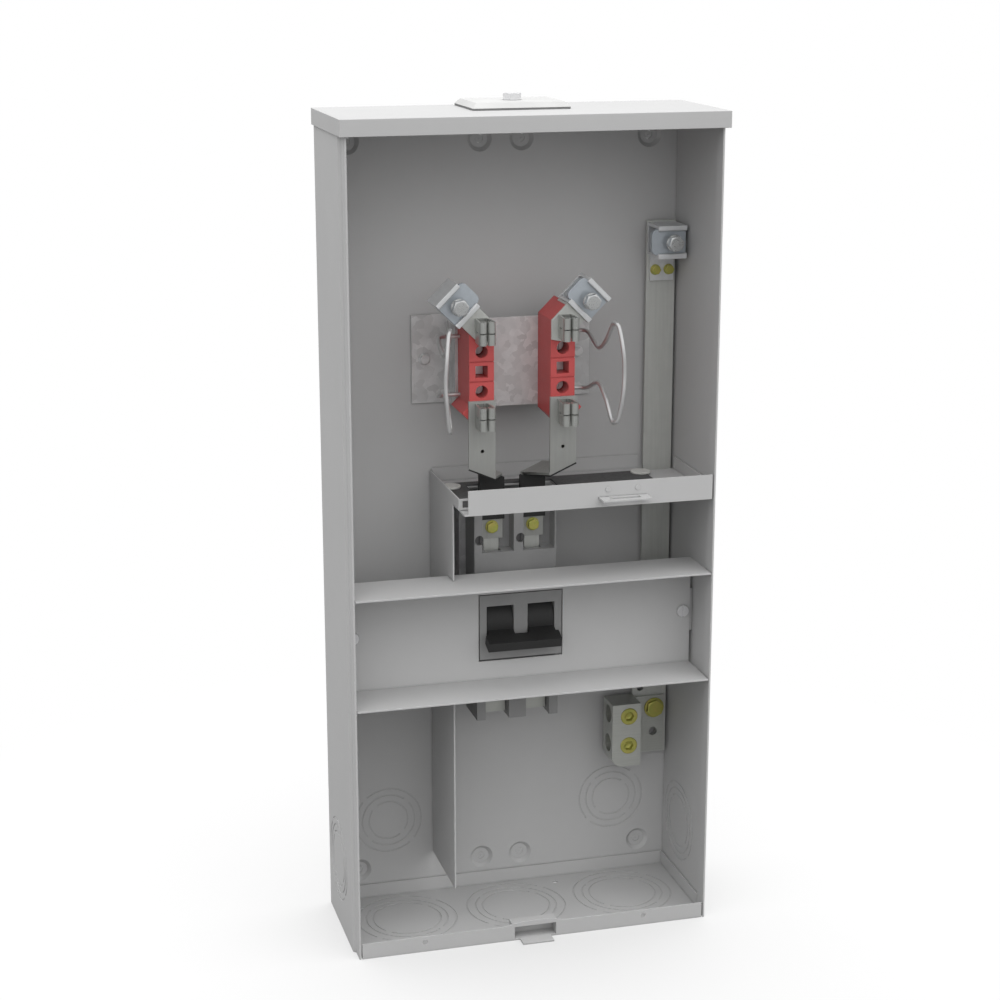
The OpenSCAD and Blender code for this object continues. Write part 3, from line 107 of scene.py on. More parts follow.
class MeterColours(bpy.types.PropertyGroup):
    """Colours of the finishes"""

    paint: colour_property(
        "Paint", "Satin grey coat of the box", (0.46, 0.46, 0.46)
    )
    cast: colour_property("Cast plate", "Cast hub plate", (0.52, 0.52, 0.515))
    zinc: colour_property("Clear zinc", "Small steel fasteners", (0.74, 0.74, 0.75))
    galvanised: colour_property(
        "Galvanised", "Hot dipped brackets", (0.64, 0.64, 0.64)
    )
    red: colour_property("Block red", "Moulded meter blocks", (0.50, 0.074, 0.073))
    tin: colour_property("Tin plate", "Line plates and neutral strap", (0.56, 0.57, 0.545))
    # Painted shade: the tin plate of the load buses, darkened for the shade they sit in
    shaded_tin: colour_property("Shaded tin", "Load buses", (0.37, 0.375, 0.36))
    jaw: colour_property("Jaw plate", "Meter jaws", (0.46, 0.47, 0.45))
    lug: colour_property("Lug zinc", "Lug channels", (0.74, 0.75, 0.76))
    bridge: colour_property("Bridge zinc", "Lug bridges and pads", (0.47, 0.51, 0.55))
    bolt: colour_property("Bolt steel", "Lug bolts", (0.58, 0.59, 0.59))
    wire: colour_property("Wire", "Support wires", (0.64, 0.64, 0.64))
    yellow: colour_property("Yellow zinc", "Chromated screws", (0.47, 0.45, 0.10))
    aluminium: colour_property("Aluminium", "Extruded lugs", (0.50, 0.51, 0.48))
    breaker: colour_property("Breaker grey", "Breaker mouldings", (0.25, 0.25, 0.25))
    handle: colour_property("Handle black", "Breaker handle", (0.017, 0.017, 0.017))
    sleeve: colour_property("Sleeve black", "Bus sleeves", (0.012, 0.012, 0.012))
    barrier: colour_property("Barrier grey", "Insulating sheet", (0.075, 0.075, 0.075))
    nylon: colour_property("Nylon", "Push buttons", (0.60, 0.60, 0.57))
    oxide: colour_property("Black oxide", "Cover screws and pins", (0.10, 0.10, 0.10))
    spacer: colour_property("Spacer black", "Spacers of the neutral strap", (0.03, 0.03, 0.03))
    rubber: colour_property("Rubber", "Gasket", (0.20, 0.20, 0.20))
    copper: colour_property("Copper", "Breaker contacts", (0.62, 0.33, 0.20))


class MeterSizes(bpy.types.PropertyGroup):
    """Sizes that only the dressed part has"""

    sheet_edge: length_property("Sheet edge", "Rounding of sheet metal edges", 0.45)
    pressed_edge: length_property("Pressed edge", "Rounding of the pressed rings", 0.2)
    moulded_edge: length_property("Moulded edge", "Rounding of plastic edges", 0.5)
    strap_edge: length_property("Strap edge", "Rounding of strap and jaw edges", 0.35)
    lug_edge: length_property("Lug edge", "Rounding of lug edges", 0.6)
    wire: length_property("Wire", "Diameter of the support wires", 3.7)
    bolt: length_property("Lug bolt", "Thread diameter of the lug bolts", 8.0)
    bolt_flats: length_property("Bolt flats", "Lug bolt head across flats", 12.7)
    bolt_flange: length_property("Bolt flange", "Flange radius of the lug bolts", 7.5)
    bolt_head: length_property("Bolt head", "Height of the lug bolt heads", 6.5)
    set_socket: length_property("Set screw socket", "Socket across flats", 8.0)
    pitch: length_property("Thread pitch", "Pitch of the larger threads", 1.41)
    knockout: length_property("Wall knockout", "Diameter of the discs in the wall holes", 6.9)


class MeterStage(bpy.types.PropertyGroup):
    """Camera, light and floor"""

    camera_place: bpy.props.FloatVectorProperty(
        name="Camera place",
        description="Where the camera stands",
        default=(-0.4919, -1.8078, 0.5126),
        size=3,
        subtype="TRANSLATION",
        unit="LENGTH",
    )
    camera_tilt: bpy.props.FloatProperty(
        name="Camera tilt",
        description="Angle of view from straight down",
        default=math.radians(75.0),
        subtype="ANGLE",
    )
    camera_turn: bpy.props.FloatProperty(
        name="Camera turn",
        description="Turn to the right",
        default=math.radians(15.24),
        subtype="ANGLE",
    )
    lens: bpy.props.FloatProperty(
        name="Lens",
        description="Focal length in millimetres",
        default=76.2,
        min=10.0,
        subtype="DISTANCE_CAMERA",
    )
    horizon: bpy.props.FloatProperty(
        name="Horizon light",
        description="Brightness of the soft light from the sides",
        default=0.50,
        min=0.0,
    )
    zenith: bpy.props.FloatProperty(
        name="Overhead light",
        description="Brightness of the soft light from above",
        default=2.5,
        min=0.0,
    )
    key: bpy.props.FloatVectorProperty(
        name="Key light",
        description="Direction and strength of the light added towards the front and right",
        default=(0.13, -0.22, 0.0),
        size=3,
        subtype="XYZ",
    )
    floor: colour_property("Floor", "Colour of the floor", (0.6, 0.6, 0.6))


def put(tree, kind, sockets=None, **settings):
    """Adds a node with its settings and the values of its sockets."""
    node = tree.nodes.new(kind)
    for key, value in settings.items():
        setattr(node, key, value)
    for key, value in (sockets or {}).items():
        node.inputs[key].default_value = value
    return node


def join(tree, source, target):
    tree.links.new(source, target)


def open_group(name, inputs, outputs):
    """Makes a node group with named sockets and returns it with its two end nodes."""
    group = bpy.data.node_groups.new(name, "ShaderNodeTree")
    for label, kind, value in inputs:
        socket = group.interface.new_socket(label, in_out="INPUT", socket_type=kind)
        socket.default_value = value
    for label, kind in outputs:
        group.interface.new_socket(label, in_out="OUTPUT", socket_type=kind)
    entry = group.nodes.new("NodeGroupInput")
    leave = group.nodes.new("NodeGroupOutput")
    return group, entry, leave


def fine_grain_group():
    """Even cloudy grain, from 0 to 1."""
    group, entry, leave = open_group(
        "Fine Grain",
        [("Scale", "NodeSocketFloat", 300.0), ("Contrast", "NodeSocketFloat", 0.5)],
        [("Value", "NodeSocketFloat")],
    )
    place = put(group, "ShaderNodeTexCoord")
    noise = put(
        group, "ShaderNodeTexNoise", {"Detail": 4.0, "Roughness": 0.62, "Distortion": 0.2}
    )
    middle, swing = 0.5, 0.45
    low = put(group, "ShaderNodeMath", {1: -swing, 2: middle}, operation="MULTIPLY_ADD")
    high = put(group, "ShaderNodeMath", {1: swing, 2: middle}, operation="MULTIPLY_ADD")
    spread = put(group, "ShaderNodeMapRange", {"From Min": 0.25, "From Max": 0.75})
    join(group, place.outputs["Object"], noise.inputs["Vector"])
    join(group, entry.outputs["Scale"], noise.inputs["Scale"])
    join(group, entry.outputs["Contrast"], low.inputs[0])
    join(group, entry.outputs["Contrast"], high.inputs[0])
    join(group, noise.outputs["Fac"], spread.inputs["Value"])
    join(group, low.outputs[0], spread.inputs["To Min"])
    join(group, high.outputs[0], spread.inputs["To Max"])
    join(group, spread.outputs["Result"], leave.inputs["Value"])
    return group


def rolled_streaks_group():
    """Long marks of rolling or drawing along one direction, from 0 to 1."""
    group, entry, leave = open_group(
        "Rolled Streaks",
        [
            ("Scale", "NodeSocketFloat", 400.0),
            ("Stretch", "NodeSocketVector", (1.0, 1.0, 0.04)),
        ],
        [("Value", "NodeSocketFloat")],
    )
    place = put(group, "ShaderNodeTexCoord")
    pull = put(group, "ShaderNodeVectorMath", operation="MULTIPLY")
    noise = put(group, "ShaderNodeTexNoise", {"Detail": 3.0, "Roughness": 0.55})
    spread = put(group, "ShaderNodeMapRange", {"From Min": 0.3, "From Max": 0.7})
    join(group, place.outputs["Object"], pull.inputs[0])
    join(group, entry.outputs["Stretch"], pull.inputs[1])
    join(group, pull.outputs[0], noise.inputs["Vector"])
    join(group, entry.outputs["Scale"], noise.inputs["Scale"])
    join(group, noise.outputs["Fac"], spread.inputs["Value"])
    join(group, spread.outputs["Result"], leave.inputs["Value"])
    return group


def edge_wear_group():
    """Broken mask along outer and inner edges."""
    group, entry, leave = open_group(
        "Edge Wear",
        [("Radius", "NodeSocketFloat", 0.6 * MM), ("Amount", "NodeSocketFloat", 0.5)],
        [("Mask", "NodeSocketFloat")],
    )
    place = put(group, "ShaderNodeTexCoord")
    shape = put(group, "ShaderNodeNewGeometry")
    rounded = put(group, "ShaderNodeBevel", samples=4)
    facing = put(group, "ShaderNodeVectorMath", operation="DOT_PRODUCT")
    band = put(group, "ShaderNodeMapRange", {"From Min": 0.98, "From Max": 0.8})
    noise = put(group, "ShaderNodeTexNoise", {"Scale": 420.0, "Detail": 5.0})
    broken = put(group, "ShaderNodeMapRange", {"From Min": 0.38, "From Max": 0.6})
    worn = put(group, "ShaderNodeMath", operation="MULTIPLY")
    amount = put(group, "ShaderNodeMath", operation="MULTIPLY")
    join(group, entry.outputs["Radius"], rounded.inputs["Radius"])
    join(group, rounded.outputs["Normal"], facing.inputs[0])
    join(group, shape.outputs["Normal"], facing.inputs[1])
    join(group, facing.outputs["Value"], band.inputs["Value"])
    join(group, place.outputs["Object"], noise.inputs["Vector"])
    join(group, noise.outputs["Fac"], broken.inputs["Value"])
    join(group, band.outputs["Result"], worn.inputs[0])
    join(group, broken.outputs["Result"], worn.inputs[1])
    join(group, worn.outputs[0], amount.inputs[0])
    join(group, entry.outputs["Amount"], amount.inputs[1])
    join(group, amount.outputs[0], leave.inputs["Mask"])
    return group


def corner_shade_group():
    """Soft mask of painted shade and dust in inside corners, from ambient occlusion, broken up by
    grain.
    """
    group, entry, leave = open_group(
        "Corner Shade and Dust",
        [
            ("Reach", "NodeSocketFloat", 14.0 * MM),
            ("Amount", "NodeSocketFloat", 0.3),
            ("Start", "NodeSocketFloat", 0.75),
            ("Full", "NodeSocketFloat", 0.2),
        ],
        [("Mask", "NodeSocketFloat")],
    )
    place = put(group, "ShaderNodeTexCoord")
    # Ambient occlusion: the mask is strongest where shade falls in corners and grooves
    open_sky = put(group, "ShaderNodeAmbientOcclusion", samples=8)
    noise = put(group, "ShaderNodeTexNoise", {"Scale": 60.0, "Detail": 6.0})
    shut = put(group, "ShaderNodeMapRange")
    patchy_shade = put(group, "ShaderNodeMath", operation="MULTIPLY")
    amount = put(group, "ShaderNodeMath", operation="MULTIPLY")
    join(group, entry.outputs["Reach"], open_sky.inputs["Distance"])
    join(group, open_sky.outputs["AO"], shut.inputs["Value"])
    join(group, entry.outputs["Start"], shut.inputs["From Min"])
    join(group, entry.outputs["Full"], shut.inputs["From Max"])
    join(group, place.outputs["Object"], noise.inputs["Vector"])
    join(group, shut.outputs["Result"], patchy_shade.inputs[0])
    join(group, noise.outputs["Fac"], patchy_shade.inputs[1])
    join(group, patchy_shade.outputs[0], amount.inputs[0])
    join(group, entry.outputs["Amount"], amount.inputs[1])
    join(group, amount.outputs[0], leave.inputs["Mask"])
    return group


GROUP_MAKERS = {
    "Fine Grain": fine_grain_group,
    "Rolled Streaks": rolled_streaks_group,
    "Edge Wear": edge_wear_group,
    "Corner Shade and Dust": corner_shade_group,
}


def effect(tree, name, **sockets):
    """Places one of the shared effects in a material."""
    group = bpy.data.node_groups.get(name) or GROUP_MAKERS[name]()
    node = tree.nodes.new("ShaderNodeGroup")
    node.node_tree = group
    for key, value in sockets.items():
        node.inputs[key.title()].default_value = value
    return node.outputs[0]


def shade(colour, factor):
    return tuple(min(1.0, c * factor) for c in colour) + (1.0,)


def blend_colours(tree, mask, first, second):
    """Colour that goes from first to second with the mask. Each is a colour or a socket."""
    mix = put(tree, "ShaderNodeMix", data_type="RGBA")
    join(tree, mask, mix.inputs["Factor"])
    for socket, value in ((mix.inputs[6], first), (mix.inputs[7], second)):
        if isinstance(value, bpy.types.NodeSocket):
            join(tree, value, socket)
        else:
            socket.default_value = value
    return mix.outputs[2]


def spread_value(tree, source, low, high):
    """Value that runs from low to high as the source runs from 0 to 1."""
    spread = put(tree, "ShaderNodeMapRange", {"To Min": low, "To Max": high})
    join(tree, source, spread.inputs["Value"])
    return spread.outputs["Result"]


def bump(tree, shader, height, depth):
    """Fine relief of the surface."""
    relief = put(tree, "ShaderNodeBump", {"Strength": 1.0, "Distance": depth})
    join(tree, height, relief.inputs["Height"])
    join(tree, relief.outputs["Normal"], shader.inputs["Normal"])


def start_finish(name, metallic):
    """Makes a material and returns it with its node tree and its shader."""
    material = bpy.data.materials.new(name)
    material.use_nodes = True
    tree = material.node_tree
    shader = tree.nodes["Principled BSDF"]
    shader.inputs["Metallic"].default_value = metallic
    return material, tree, shader


def box_paint(colour):
    """Satin baked coat: orange peel, thin along edges, painted shade and dust in corners, painted
    shade in the pressed grooves.
    """
    material, tree, shader = start_finish("Satin Grey Paint", 0.0)
    cloud = effect(tree, "Fine Grain", scale=9.0, contrast=0.8)
    peel = effect(tree, "Fine Grain", scale=750.0, contrast=0.9)
    worn = effect(tree, "Edge Wear", radius=0.8 * MM, amount=0.55)
    # Painted shade and dust: the coat darkens where inside corners close in, within 12 mm
    corner_shade_and_dust = effect(tree, "Corner Shade and Dust", reach=12.0 * MM, amount=0.45)
    # Painted shade: dark lines in pressed grooves and narrow gaps, like contact shadows
    crease_shade = effect(tree, "Corner Shade and Dust", reach=2.0 * MM, amount=0.65, start=0.97, full=0.6)
    coat = blend_colours(tree, cloud, shade(colour, 0.965), shade(colour, 1.035))
    coat = blend_colours(tree, corner_shade_and_dust, coat, shade(colour, 0.72))
    coat = blend_colours(tree, crease_shade, coat, shade(colour, 0.45))
    coat = blend_colours(tree, worn, coat, shade(colour, 1.3))
    join(tree, coat, shader.inputs["Base Color"])
    join(tree, spread_value(tree, peel, 0.44, 0.58), shader.inputs["Roughness"])
    bump(tree, shader, peel, 0.02 * MM)
    return material


def spangled_zinc(colour):
    """Hot dipped zinc with crystals a few millimetres wide."""
    material, tree, shader = start_finish("Spangled Zinc", 0.4)
    place = put(tree, "ShaderNodeTexCoord")
    warp = put(tree, "ShaderNodeTexNoise", {"Scale": 130.0, "Detail": 3.0})
    shift = (7.0 * MM,) * 3
    bend = put(tree, "ShaderNodeVectorMath", {1: shift}, operation="MULTIPLY_ADD")
    crystals = put(tree, "ShaderNodeTexVoronoi", {"Scale": 150.0}, feature="F1")
    tone = put(tree, "ShaderNodeSeparateColor")
    cloud = effect(tree, "Fine Grain", scale=45.0, contrast=1.0)
    grain = effect(tree, "Fine Grain", scale=900.0, contrast=0.7)
    worn = effect(tree, "Edge Wear", radius=0.6 * MM, amount=0.6)
    join(tree, place.outputs["Object"], warp.inputs["Vector"])
    join(tree, warp.outputs["Color"], bend.inputs[0])
    join(tree, place.outputs["Object"], bend.inputs[2])
    join(tree, bend.outputs[0], crystals.inputs["Vector"])
    join(tree, crystals.outputs["Color"], tone.inputs["Color"])
    facets = blend_colours(tree, tone.outputs[0], shade(colour, 0.80), shade(colour, 1.18))
    coat = blend_colours(tree, cloud, shade(colour, 0.78), facets)
    coat = blend_colours(tree, worn, coat, shade(colour, 1.4))
    join(tree, coat, shader.inputs["Base Color"])
    join(tree, spread_value(tree, tone.outputs[1], 0.38, 0.62), shader.inputs["Roughness"])
    bump(tree, shader, grain, 0.02 * MM)
    return material


def plated(name, colour, metallic, smooth, rough, stretch, streak_scale, rubbed=0.5, swing=0.06):
    """Plated or bare metal with the marks of its rolling, drawing or turning."""
    material, tree, shader = start_finish(name, metallic)
    streaks = effect(tree, "Rolled Streaks", scale=streak_scale, stretch=stretch)
    cloud = effect(tree, "Fine Grain", scale=70.0, contrast=0.9)
    worn = effect(tree, "Edge Wear", radius=0.5 * MM, amount=rubbed)
    tone = blend_colours(tree, cloud, shade(colour, 1.0 - swing), shade(colour, 1.0 + swing))
    tone = blend_colours(
        tree, spread_value(tree, streaks, 0.0, 0.6), tone, shade(colour, 1.0 - 1.6 * swing)
    )
    tone = blend_colours(tree, worn, tone, shade(colour, 1.35))
    join(tree, tone, shader.inputs["Base Color"])
    join(tree, spread_value(tree, streaks, smooth, rough), shader.inputs["Roughness"])
    bump(tree, shader, streaks, 0.005 * MM)
    return material


def yellow_chromate(colour):
    """Yellow chromate over zinc: gold with green and rosy patches."""
    material, tree, shader = start_finish("Yellow Chromate", 0.55)
    patch = effect(tree, "Fine Grain", scale=160.0, contrast=1.0)
    other = effect(tree, "Fine Grain", scale=95.0, contrast=1.0)
    turned = effect(tree, "Rolled Streaks", scale=900.0, stretch=(1.0, 0.1, 1.0))
    worn = effect(tree, "Edge Wear", radius=0.4 * MM, amount=0.55)
    r, g, b = colour
    green = (r * 0.78, g * 0.98, b * 0.95, 1.0)
    rosy = (r * 1.22, g * 1.0, b * 1.35, 1.0)
    tone = blend_colours(tree, patch, green, rosy)
    tone = blend_colours(
        tree, spread_value(tree, other, 0.0, 0.5), tone, shade(colour, 0.85)
    )
    tone = blend_colours(tree, worn, tone, (0.55, 0.54, 0.42, 1.0))
    join(tree, tone, shader.inputs["Base Color"])
    join(tree, spread_value(tree, turned, 0.28, 0.46), shader.inputs["Roughness"])
    bump(tree, shader, turned, 0.01 * MM)
    return material


def moulded(name, colour, smooth, rough, grain_scale, relief, rubbed=0.35, swing=0.1):
    """Moulded plastic with fine moulding grain and rubbed edges."""
    material, tree, shader = start_finish(name, 0.0)
    grain = effect(tree, "Fine Grain", scale=grain_scale, contrast=1.0)
    flow = effect(tree, "Fine Grain", scale=28.0, contrast=0.9)
    worn = effect(tree, "Edge Wear", radius=0.5 * MM, amount=rubbed)
    # Painted shade and dust: the plastic darkens in inside corners, within 5 mm
    corner_shade_and_dust = effect(tree, "Corner Shade and Dust", reach=5.0 * MM, amount=0.4)
    tone = blend_colours(tree, flow, shade(colour, 1.0 - swing), shade(colour, 1.0 + swing))
    tone = blend_colours(tree, corner_shade_and_dust, tone, shade(colour, 0.6))
    tone = blend_colours(tree, worn, tone, shade(colour, 1.5))
    join(tree, tone, shader.inputs["Base Color"])
    join(tree, spread_value(tree, grain, smooth, rough), shader.inputs["Roughness"])
    bump(tree, shader, grain, relief)
    return material


def finish_makers(colours):
    """The maker of each finish, by the record's slot. The load buses have a darker copy of the tin
    plate, a painted shade.
    """
    along_z, along_x, along_y = (1.0, 1.0, 0.04), (0.04, 1.0, 1.0), (1.0, 0.04, 1.0)
    return {
        "paint": lambda: box_paint(colours.paint),
        "galvanised": lambda: spangled_zinc(colours.galvanised),
        "yellow_zinc": lambda: yellow_chromate(colours.yellow),
        "cast_zinc": lambda: moulded(
            "Cast Zinc", colours.cast, smooth=0.45, rough=0.6,
            grain_scale=520.0, relief=0.03 * MM,
        ),
        "zinc_steel": lambda: plated(
            "Clear Zinc", colours.zinc, metallic=0.65, smooth=0.34, rough=0.46,
            stretch=along_y, streak_scale=700.0,
        ),
        "tinned_strap": lambda: plated(
            "Tin Plate", colours.tin, metallic=0.45, smooth=0.42, rough=0.55,
            stretch=along_z, streak_scale=420.0,
        ),
        # Painted shade: the same tin plate as the straps, only darker
        "shaded_tin_bus": lambda: plated(
            "Shaded Tin Plate", colours.shaded_tin, metallic=0.45, smooth=0.42, rough=0.55,
            stretch=along_z, streak_scale=420.0,
        ),
        "jaw_metal": lambda: plated(
            "Jaw Plate", colours.jaw, metallic=0.75, smooth=0.24, rough=0.40,
            stretch=along_z, streak_scale=600.0,
        ),
        "lug_zinc": lambda: plated(
            "Lug Zinc", colours.lug, metallic=0.6, smooth=0.34, rough=0.44,
            stretch=along_y, streak_scale=260.0,
        ),
        "lug_blue": lambda: plated(
            "Bridge Zinc", colours.bridge, metallic=0.6, smooth=0.34, rough=0.46,
            stretch=along_y, streak_scale=260.0, rubbed=0.7,
        ),
        "bolt_steel": lambda: plated(
            "Bolt Steel", colours.bolt, metallic=0.9, smooth=0.24, rough=0.38,
            stretch=along_y, streak_scale=800.0,
        ),
        "wire_steel": lambda: plated(
            "Drawn Wire", colours.wire, metallic=0.8, smooth=0.32, rough=0.42,
            stretch=along_z, streak_scale=200.0, rubbed=0.0,
        ),
        "lug_aluminium": lambda: plated(
            "Extruded Aluminium", colours.aluminium, metallic=0.65, smooth=0.34, rough=0.50,
            stretch=along_x, streak_scale=600.0,
        ),
        "copper": lambda: plated(
            "Copper", colours.copper, metallic=1.0, smooth=0.25, rough=0.42,
            stretch=along_z, streak_scale=500.0,
        ),
        "block_red": lambda: moulded(
            "Block Red", colours.red, smooth=0.38, rough=0.52,
            grain_scale=900.0, relief=0.02 * MM,
        ),
        "breaker_grey": lambda: moulded(
            "Breaker Grey", colours.breaker, smooth=0.42, rough=0.58,
            grain_scale=1100.0, relief=0.025 * MM,
        ),
        "handle_black": lambda: moulded(
            "Handle Black", colours.handle, smooth=0.50, rough=0.64,
            grain_scale=1000.0, relief=0.03 * MM, rubbed=0.6,
        ),
        "sleeve_black": lambda: moulded(
            "Sleeve Black", colours.sleeve, smooth=0.40, rough=0.60,
            grain_scale=700.0, relief=0.03 * MM, rubbed=0.5,
        ),
        "spacer_black": lambda: moulded(
            "Spacer Black", colours.spacer, smooth=0.45, rough=0.65,
            grain_scale=800.0, relief=0.03 * MM,
        ),
        "barrier_grey": lambda: moulded(
            "Barrier Sheet", colours.barrier, smooth=0.50, rough=0.72,
            grain_scale=380.0, relief=0.03 * MM, swing=0.18,
        ),
        "button_nylon": lambda: moulded(
            "Natural Nylon", colours.nylon, smooth=0.32, rough=0.46,
            grain_scale=700.0, relief=0.015 * MM, rubbed=0.2,
        ),
        "dark_steel": lambda: plated(
            "Black Oxide", colours.oxide, metallic=0.6, smooth=0.40, rough=0.55,
            stretch=along_y, streak_scale=600.0,
        ),
        "rubber": lambda: moulded(
            "Gasket Rubber", colours.rubber, smooth=0.7, rough=0.9,
            grain_scale=500.0, relief=0.04 * MM,
        ),
    }


FINISHES = {}


def finish_of(slot):
    if slot not in FINISHES:
        FINISHES[slot] = finish_makers(bpy.context.scene.meter_colours)[slot]()
    return FINISHES[slot]


def wear(piece, slot):
    """Gives a piece the finish of one slot alone."""
    piece.data.materials.clear()
    piece.data.materials.append(finish_of(slot))


def round_edges(piece, width):
    """Rounds the sharp edges of a solid and evens its shading."""
    weld = piece.modifiers.new("Weld seams", "WELD")
    weld.merge_threshold = 0.002 * MM
    flat = piece.modifiers.new("Clean flats", "DECIMATE")
    flat.decimate_type = "DISSOLVE"
    flat.angle_limit = math.radians(0.6)
    edge = piece.modifiers.new("Round edges", "BEVEL")
    edge.width = width
    edge.segments = 2
    edge.limit_method = "ANGLE"
    edge.angle_limit = math.radians(38)
    even = piece.modifiers.new("Even shading", "WEIGHTED_NORMAL")
    even.weight = 60


def dress(nodes, width):
    """Finishes and rounds CAD nodes."""
    for node in nodes:
        piece = frame["nodes"][node]
        wear(piece, SLOT_OF[node])
        round_edges(piece, width)


def add_piece(name, mesh, node):
    """Adds a mesh on the body and with the finish of a CAD node."""
    mesh.shade_smooth()
    mesh.set_sharp_from_angle(angle=math.radians(35.0))
    piece = bpy.data.objects.new(name, mesh)
    bpy.context.scene.collection.objects.link(piece)
    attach(piece, BODY_OF[node])
    wear(piece, SLOT_OF[node])
    return piece


def swap_piece(name, mesh, node):
    """Puts a new mesh in the place of a CAD node."""
    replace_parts(add_piece(name, mesh, node), node)


def forward_at(x, y, z):
    """Frame of a fastener whose head points out of the box."""
    return Matrix.Translation((x, y, z)) @ Matrix.Rotation(math.radians(90), 4, "X")


def ring(bm, place, radii, height):
    """Ring of points round the axis. The height is one number or one for each point."""
    count = len(radii)
    heights = height if isinstance(height, list) else [height] * count
    return [
        bm.verts.new(
            place
            @ Vector(
                (
                    radii[i] * math.cos(2 * math.pi * i / count),
                    radii[i] * math.sin(2 * math.pi * i / count),
                    heights[i],
                )
            )
        )
        for i in range(count)
    ]


def bridge(bm, lower, upper):
    """Faces between two rings."""
    count = len(lower)
    for i in range(count):
        j = (i + 1) % count
        bm.faces.new((lower[i], lower[j], upper[j], upper[i]))


def stack(bm, place, rows):
    """Closed solid through rows of (radii, height), from the rear to the front."""
    rings = [ring(bm, place, radii, height) for radii, height in rows]
    for lower, upper in zip(rings, rings[1:]):
        bridge(bm, lower, upper)
    bm.faces.new(rings[0][::-1])
    bm.faces.new(rings[-1])


SIDES = 72
THREAD_STEPS = 6


def round_row(radius, height):
    """Row of a round section."""
    return [radius] * SIDES, height


def hexagon(flats):
    """Radius of a hexagon at each side step."""
    sixth = math.pi / 3
    return [
        flats / 2 / math.cos((2 * math.pi * i / SIDES) % sixth - sixth / 2)
        for i in range(SIDES)
    ]


def hex_head(bm, place, flats, rear, front):
    """Hexagon head with the usual turned chamfer on its face."""
    outline = hexagon(flats)
    turned = 0.475 * flats
    slope = math.tan(math.radians(28))
    shoulder = [front - max(0.0, r - turned) * slope for r in outline]
    stack(
        bm,
        place,
        [
            (outline, rear),
            (outline, shoulder),
            round_row(turned, front),
            round_row(turned * 0.9, front + 0.02 * MM),
        ],
    )


def washer_face(bm, place, radius, thick):
    """Round flange with a rolled rim."""
    soft = thick * 0.4
    stack(
        bm,
        place,
        [
            round_row(radius - soft, 0.0),
            round_row(radius, soft),
            round_row(radius, thick - soft),
            round_row(radius - soft * 0.5, thick - 0.25 * soft),
            round_row(radius - 1.6 * soft, thick),
        ],
    )


def thread_row(radius, height, rear, pitch, ease):
    """Row of a helical thread at one height. The ease runs from 0, no thread, to 1."""
    depth = 0.5 * pitch * ease
    turns = (height - rear) / pitch
    return [radius - depth * abs(2 * ((turns - i / SIDES) % 1.0) - 1) for i in range(SIDES)], height


def threaded_rod(bm, place, radius, rear, front, pitch):
    """Rod with a helical thread and tapered tips."""
    count = max(2, math.ceil((front - rear) / pitch * THREAD_STEPS))
    rows = []
    for k in range(count + 1):
        height = rear + (front - rear) * k / count
        ease = min(1.0, 0.35 + min(height - rear, front - height) / pitch)
        taper = min(1.0, 0.8 + 0.2 * ease)
        rows.append(thread_row(radius * taper, height, rear, pitch, ease))
    stack(bm, place, rows)


ScrewSize = namedtuple("ScrewSize", "washer rim flats head shank pitch")


def screw_size(**millimetres):
    """Radius and height of the washer, flats and height of the head, shank radius and pitch."""
    return ScrewSize(**{name: value * MM for name, value in millimetres.items()})


BRACKET_SCREW = screw_size(washer=5.4, rim=1.0, flats=8.0, head=4.0, shank=2.1, pitch=0.8)
NEUTRAL_SCREW = screw_size(washer=4.8, rim=1.0, flats=7.5, head=4.5, shank=2.1, pitch=0.8)
LINE_SCREW = screw_size(washer=6.0, rim=1.0, flats=9.0, head=5.0, shank=3.0, pitch=1.0)
BONDING_SCREW = screw_size(washer=9.8, rim=1.3, flats=15.0, head=5.0, shank=3.0, pitch=1.0)
HUB_BOLT = screw_size(washer=8.0, rim=1.2, flats=14.0, head=6.0, shank=4.0, pitch=1.25)


def hex_screw(bm, place, size, length):
    """Hexagon washer head screw, seated at its frame's origin."""
    threaded_rod(bm, place, size.shank, -length, 0.2 * size.rim, size.pitch)
    washer_face(bm, place, size.washer, size.rim)
    hex_head(bm, place, size.flats, 0.3 * size.rim, size.head)


def socket_screw(bm, place, radius, length, flats, pitch):
    """Set screw with a hexagon socket, its front face at the frame's origin."""
    soft, chamfer = 0.7 * MM, 0.35 * MM
    socket_depth, drill_point = 5.0 * MM, 0.8 * MM
    outline = hexagon(flats)
    count = max(2, math.ceil(length / pitch * THREAD_STEPS))
    rows = []
    for k in range(count + 1):
        height = -length + (length - soft) * k / count
        ease = min(1.0, min(height + length, -soft - height) / pitch)
        rows.append(thread_row(radius, height, -length, pitch, ease))
    rows += [
        round_row(radius - soft, 0.0),
        ([r + chamfer for r in outline], 0.0),
        (outline, -chamfer),
        (outline, -socket_depth),
        round_row(0.3 * flats, -socket_depth - drill_point),
    ]
    stack(bm, place, rows)


def wall_disc(bm, place, radius):
    """Thin disc left in a wall hole, with the mark of its punch."""
    half, soft = 0.55 * MM, 0.15 * MM
    profile = [
        (radius, -half),
        (radius, half - soft),
        (radius - soft, half),
        (0.22 * radius, half),
        (0.12 * radius, half - 2 * soft),
    ]
    stack(bm, place, [round_row(r, h) for r, h in profile])


def new_mesh(name, build):
    """Mesh from a function that fills a bmesh."""
    bm = bmesh.new()
    build(bm)
    bmesh.ops.recalc_face_normals(bm, faces=bm.faces)
    mesh = bpy.data.meshes.new(name)
    bm.to_mesh(mesh)
    bm.free()
    return mesh


def screw_pair(name, node, size, turn=0.0):
    """Fits two like screws, side by side, in the place of their node."""
    low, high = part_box(node)
    seat = low.y + size.head
    middle = (low.z + high.z) / 2

    def build(bm):
        for x in (low.x + size.washer, high.x - size.washer):
            place = forward_at(x, seat, middle) @ Matrix.Rotation(turn, 4, "Z")
            hex_screw(bm, place, size, high.y - seat)

    swap_piece(name, new_mesh(name, build), node)


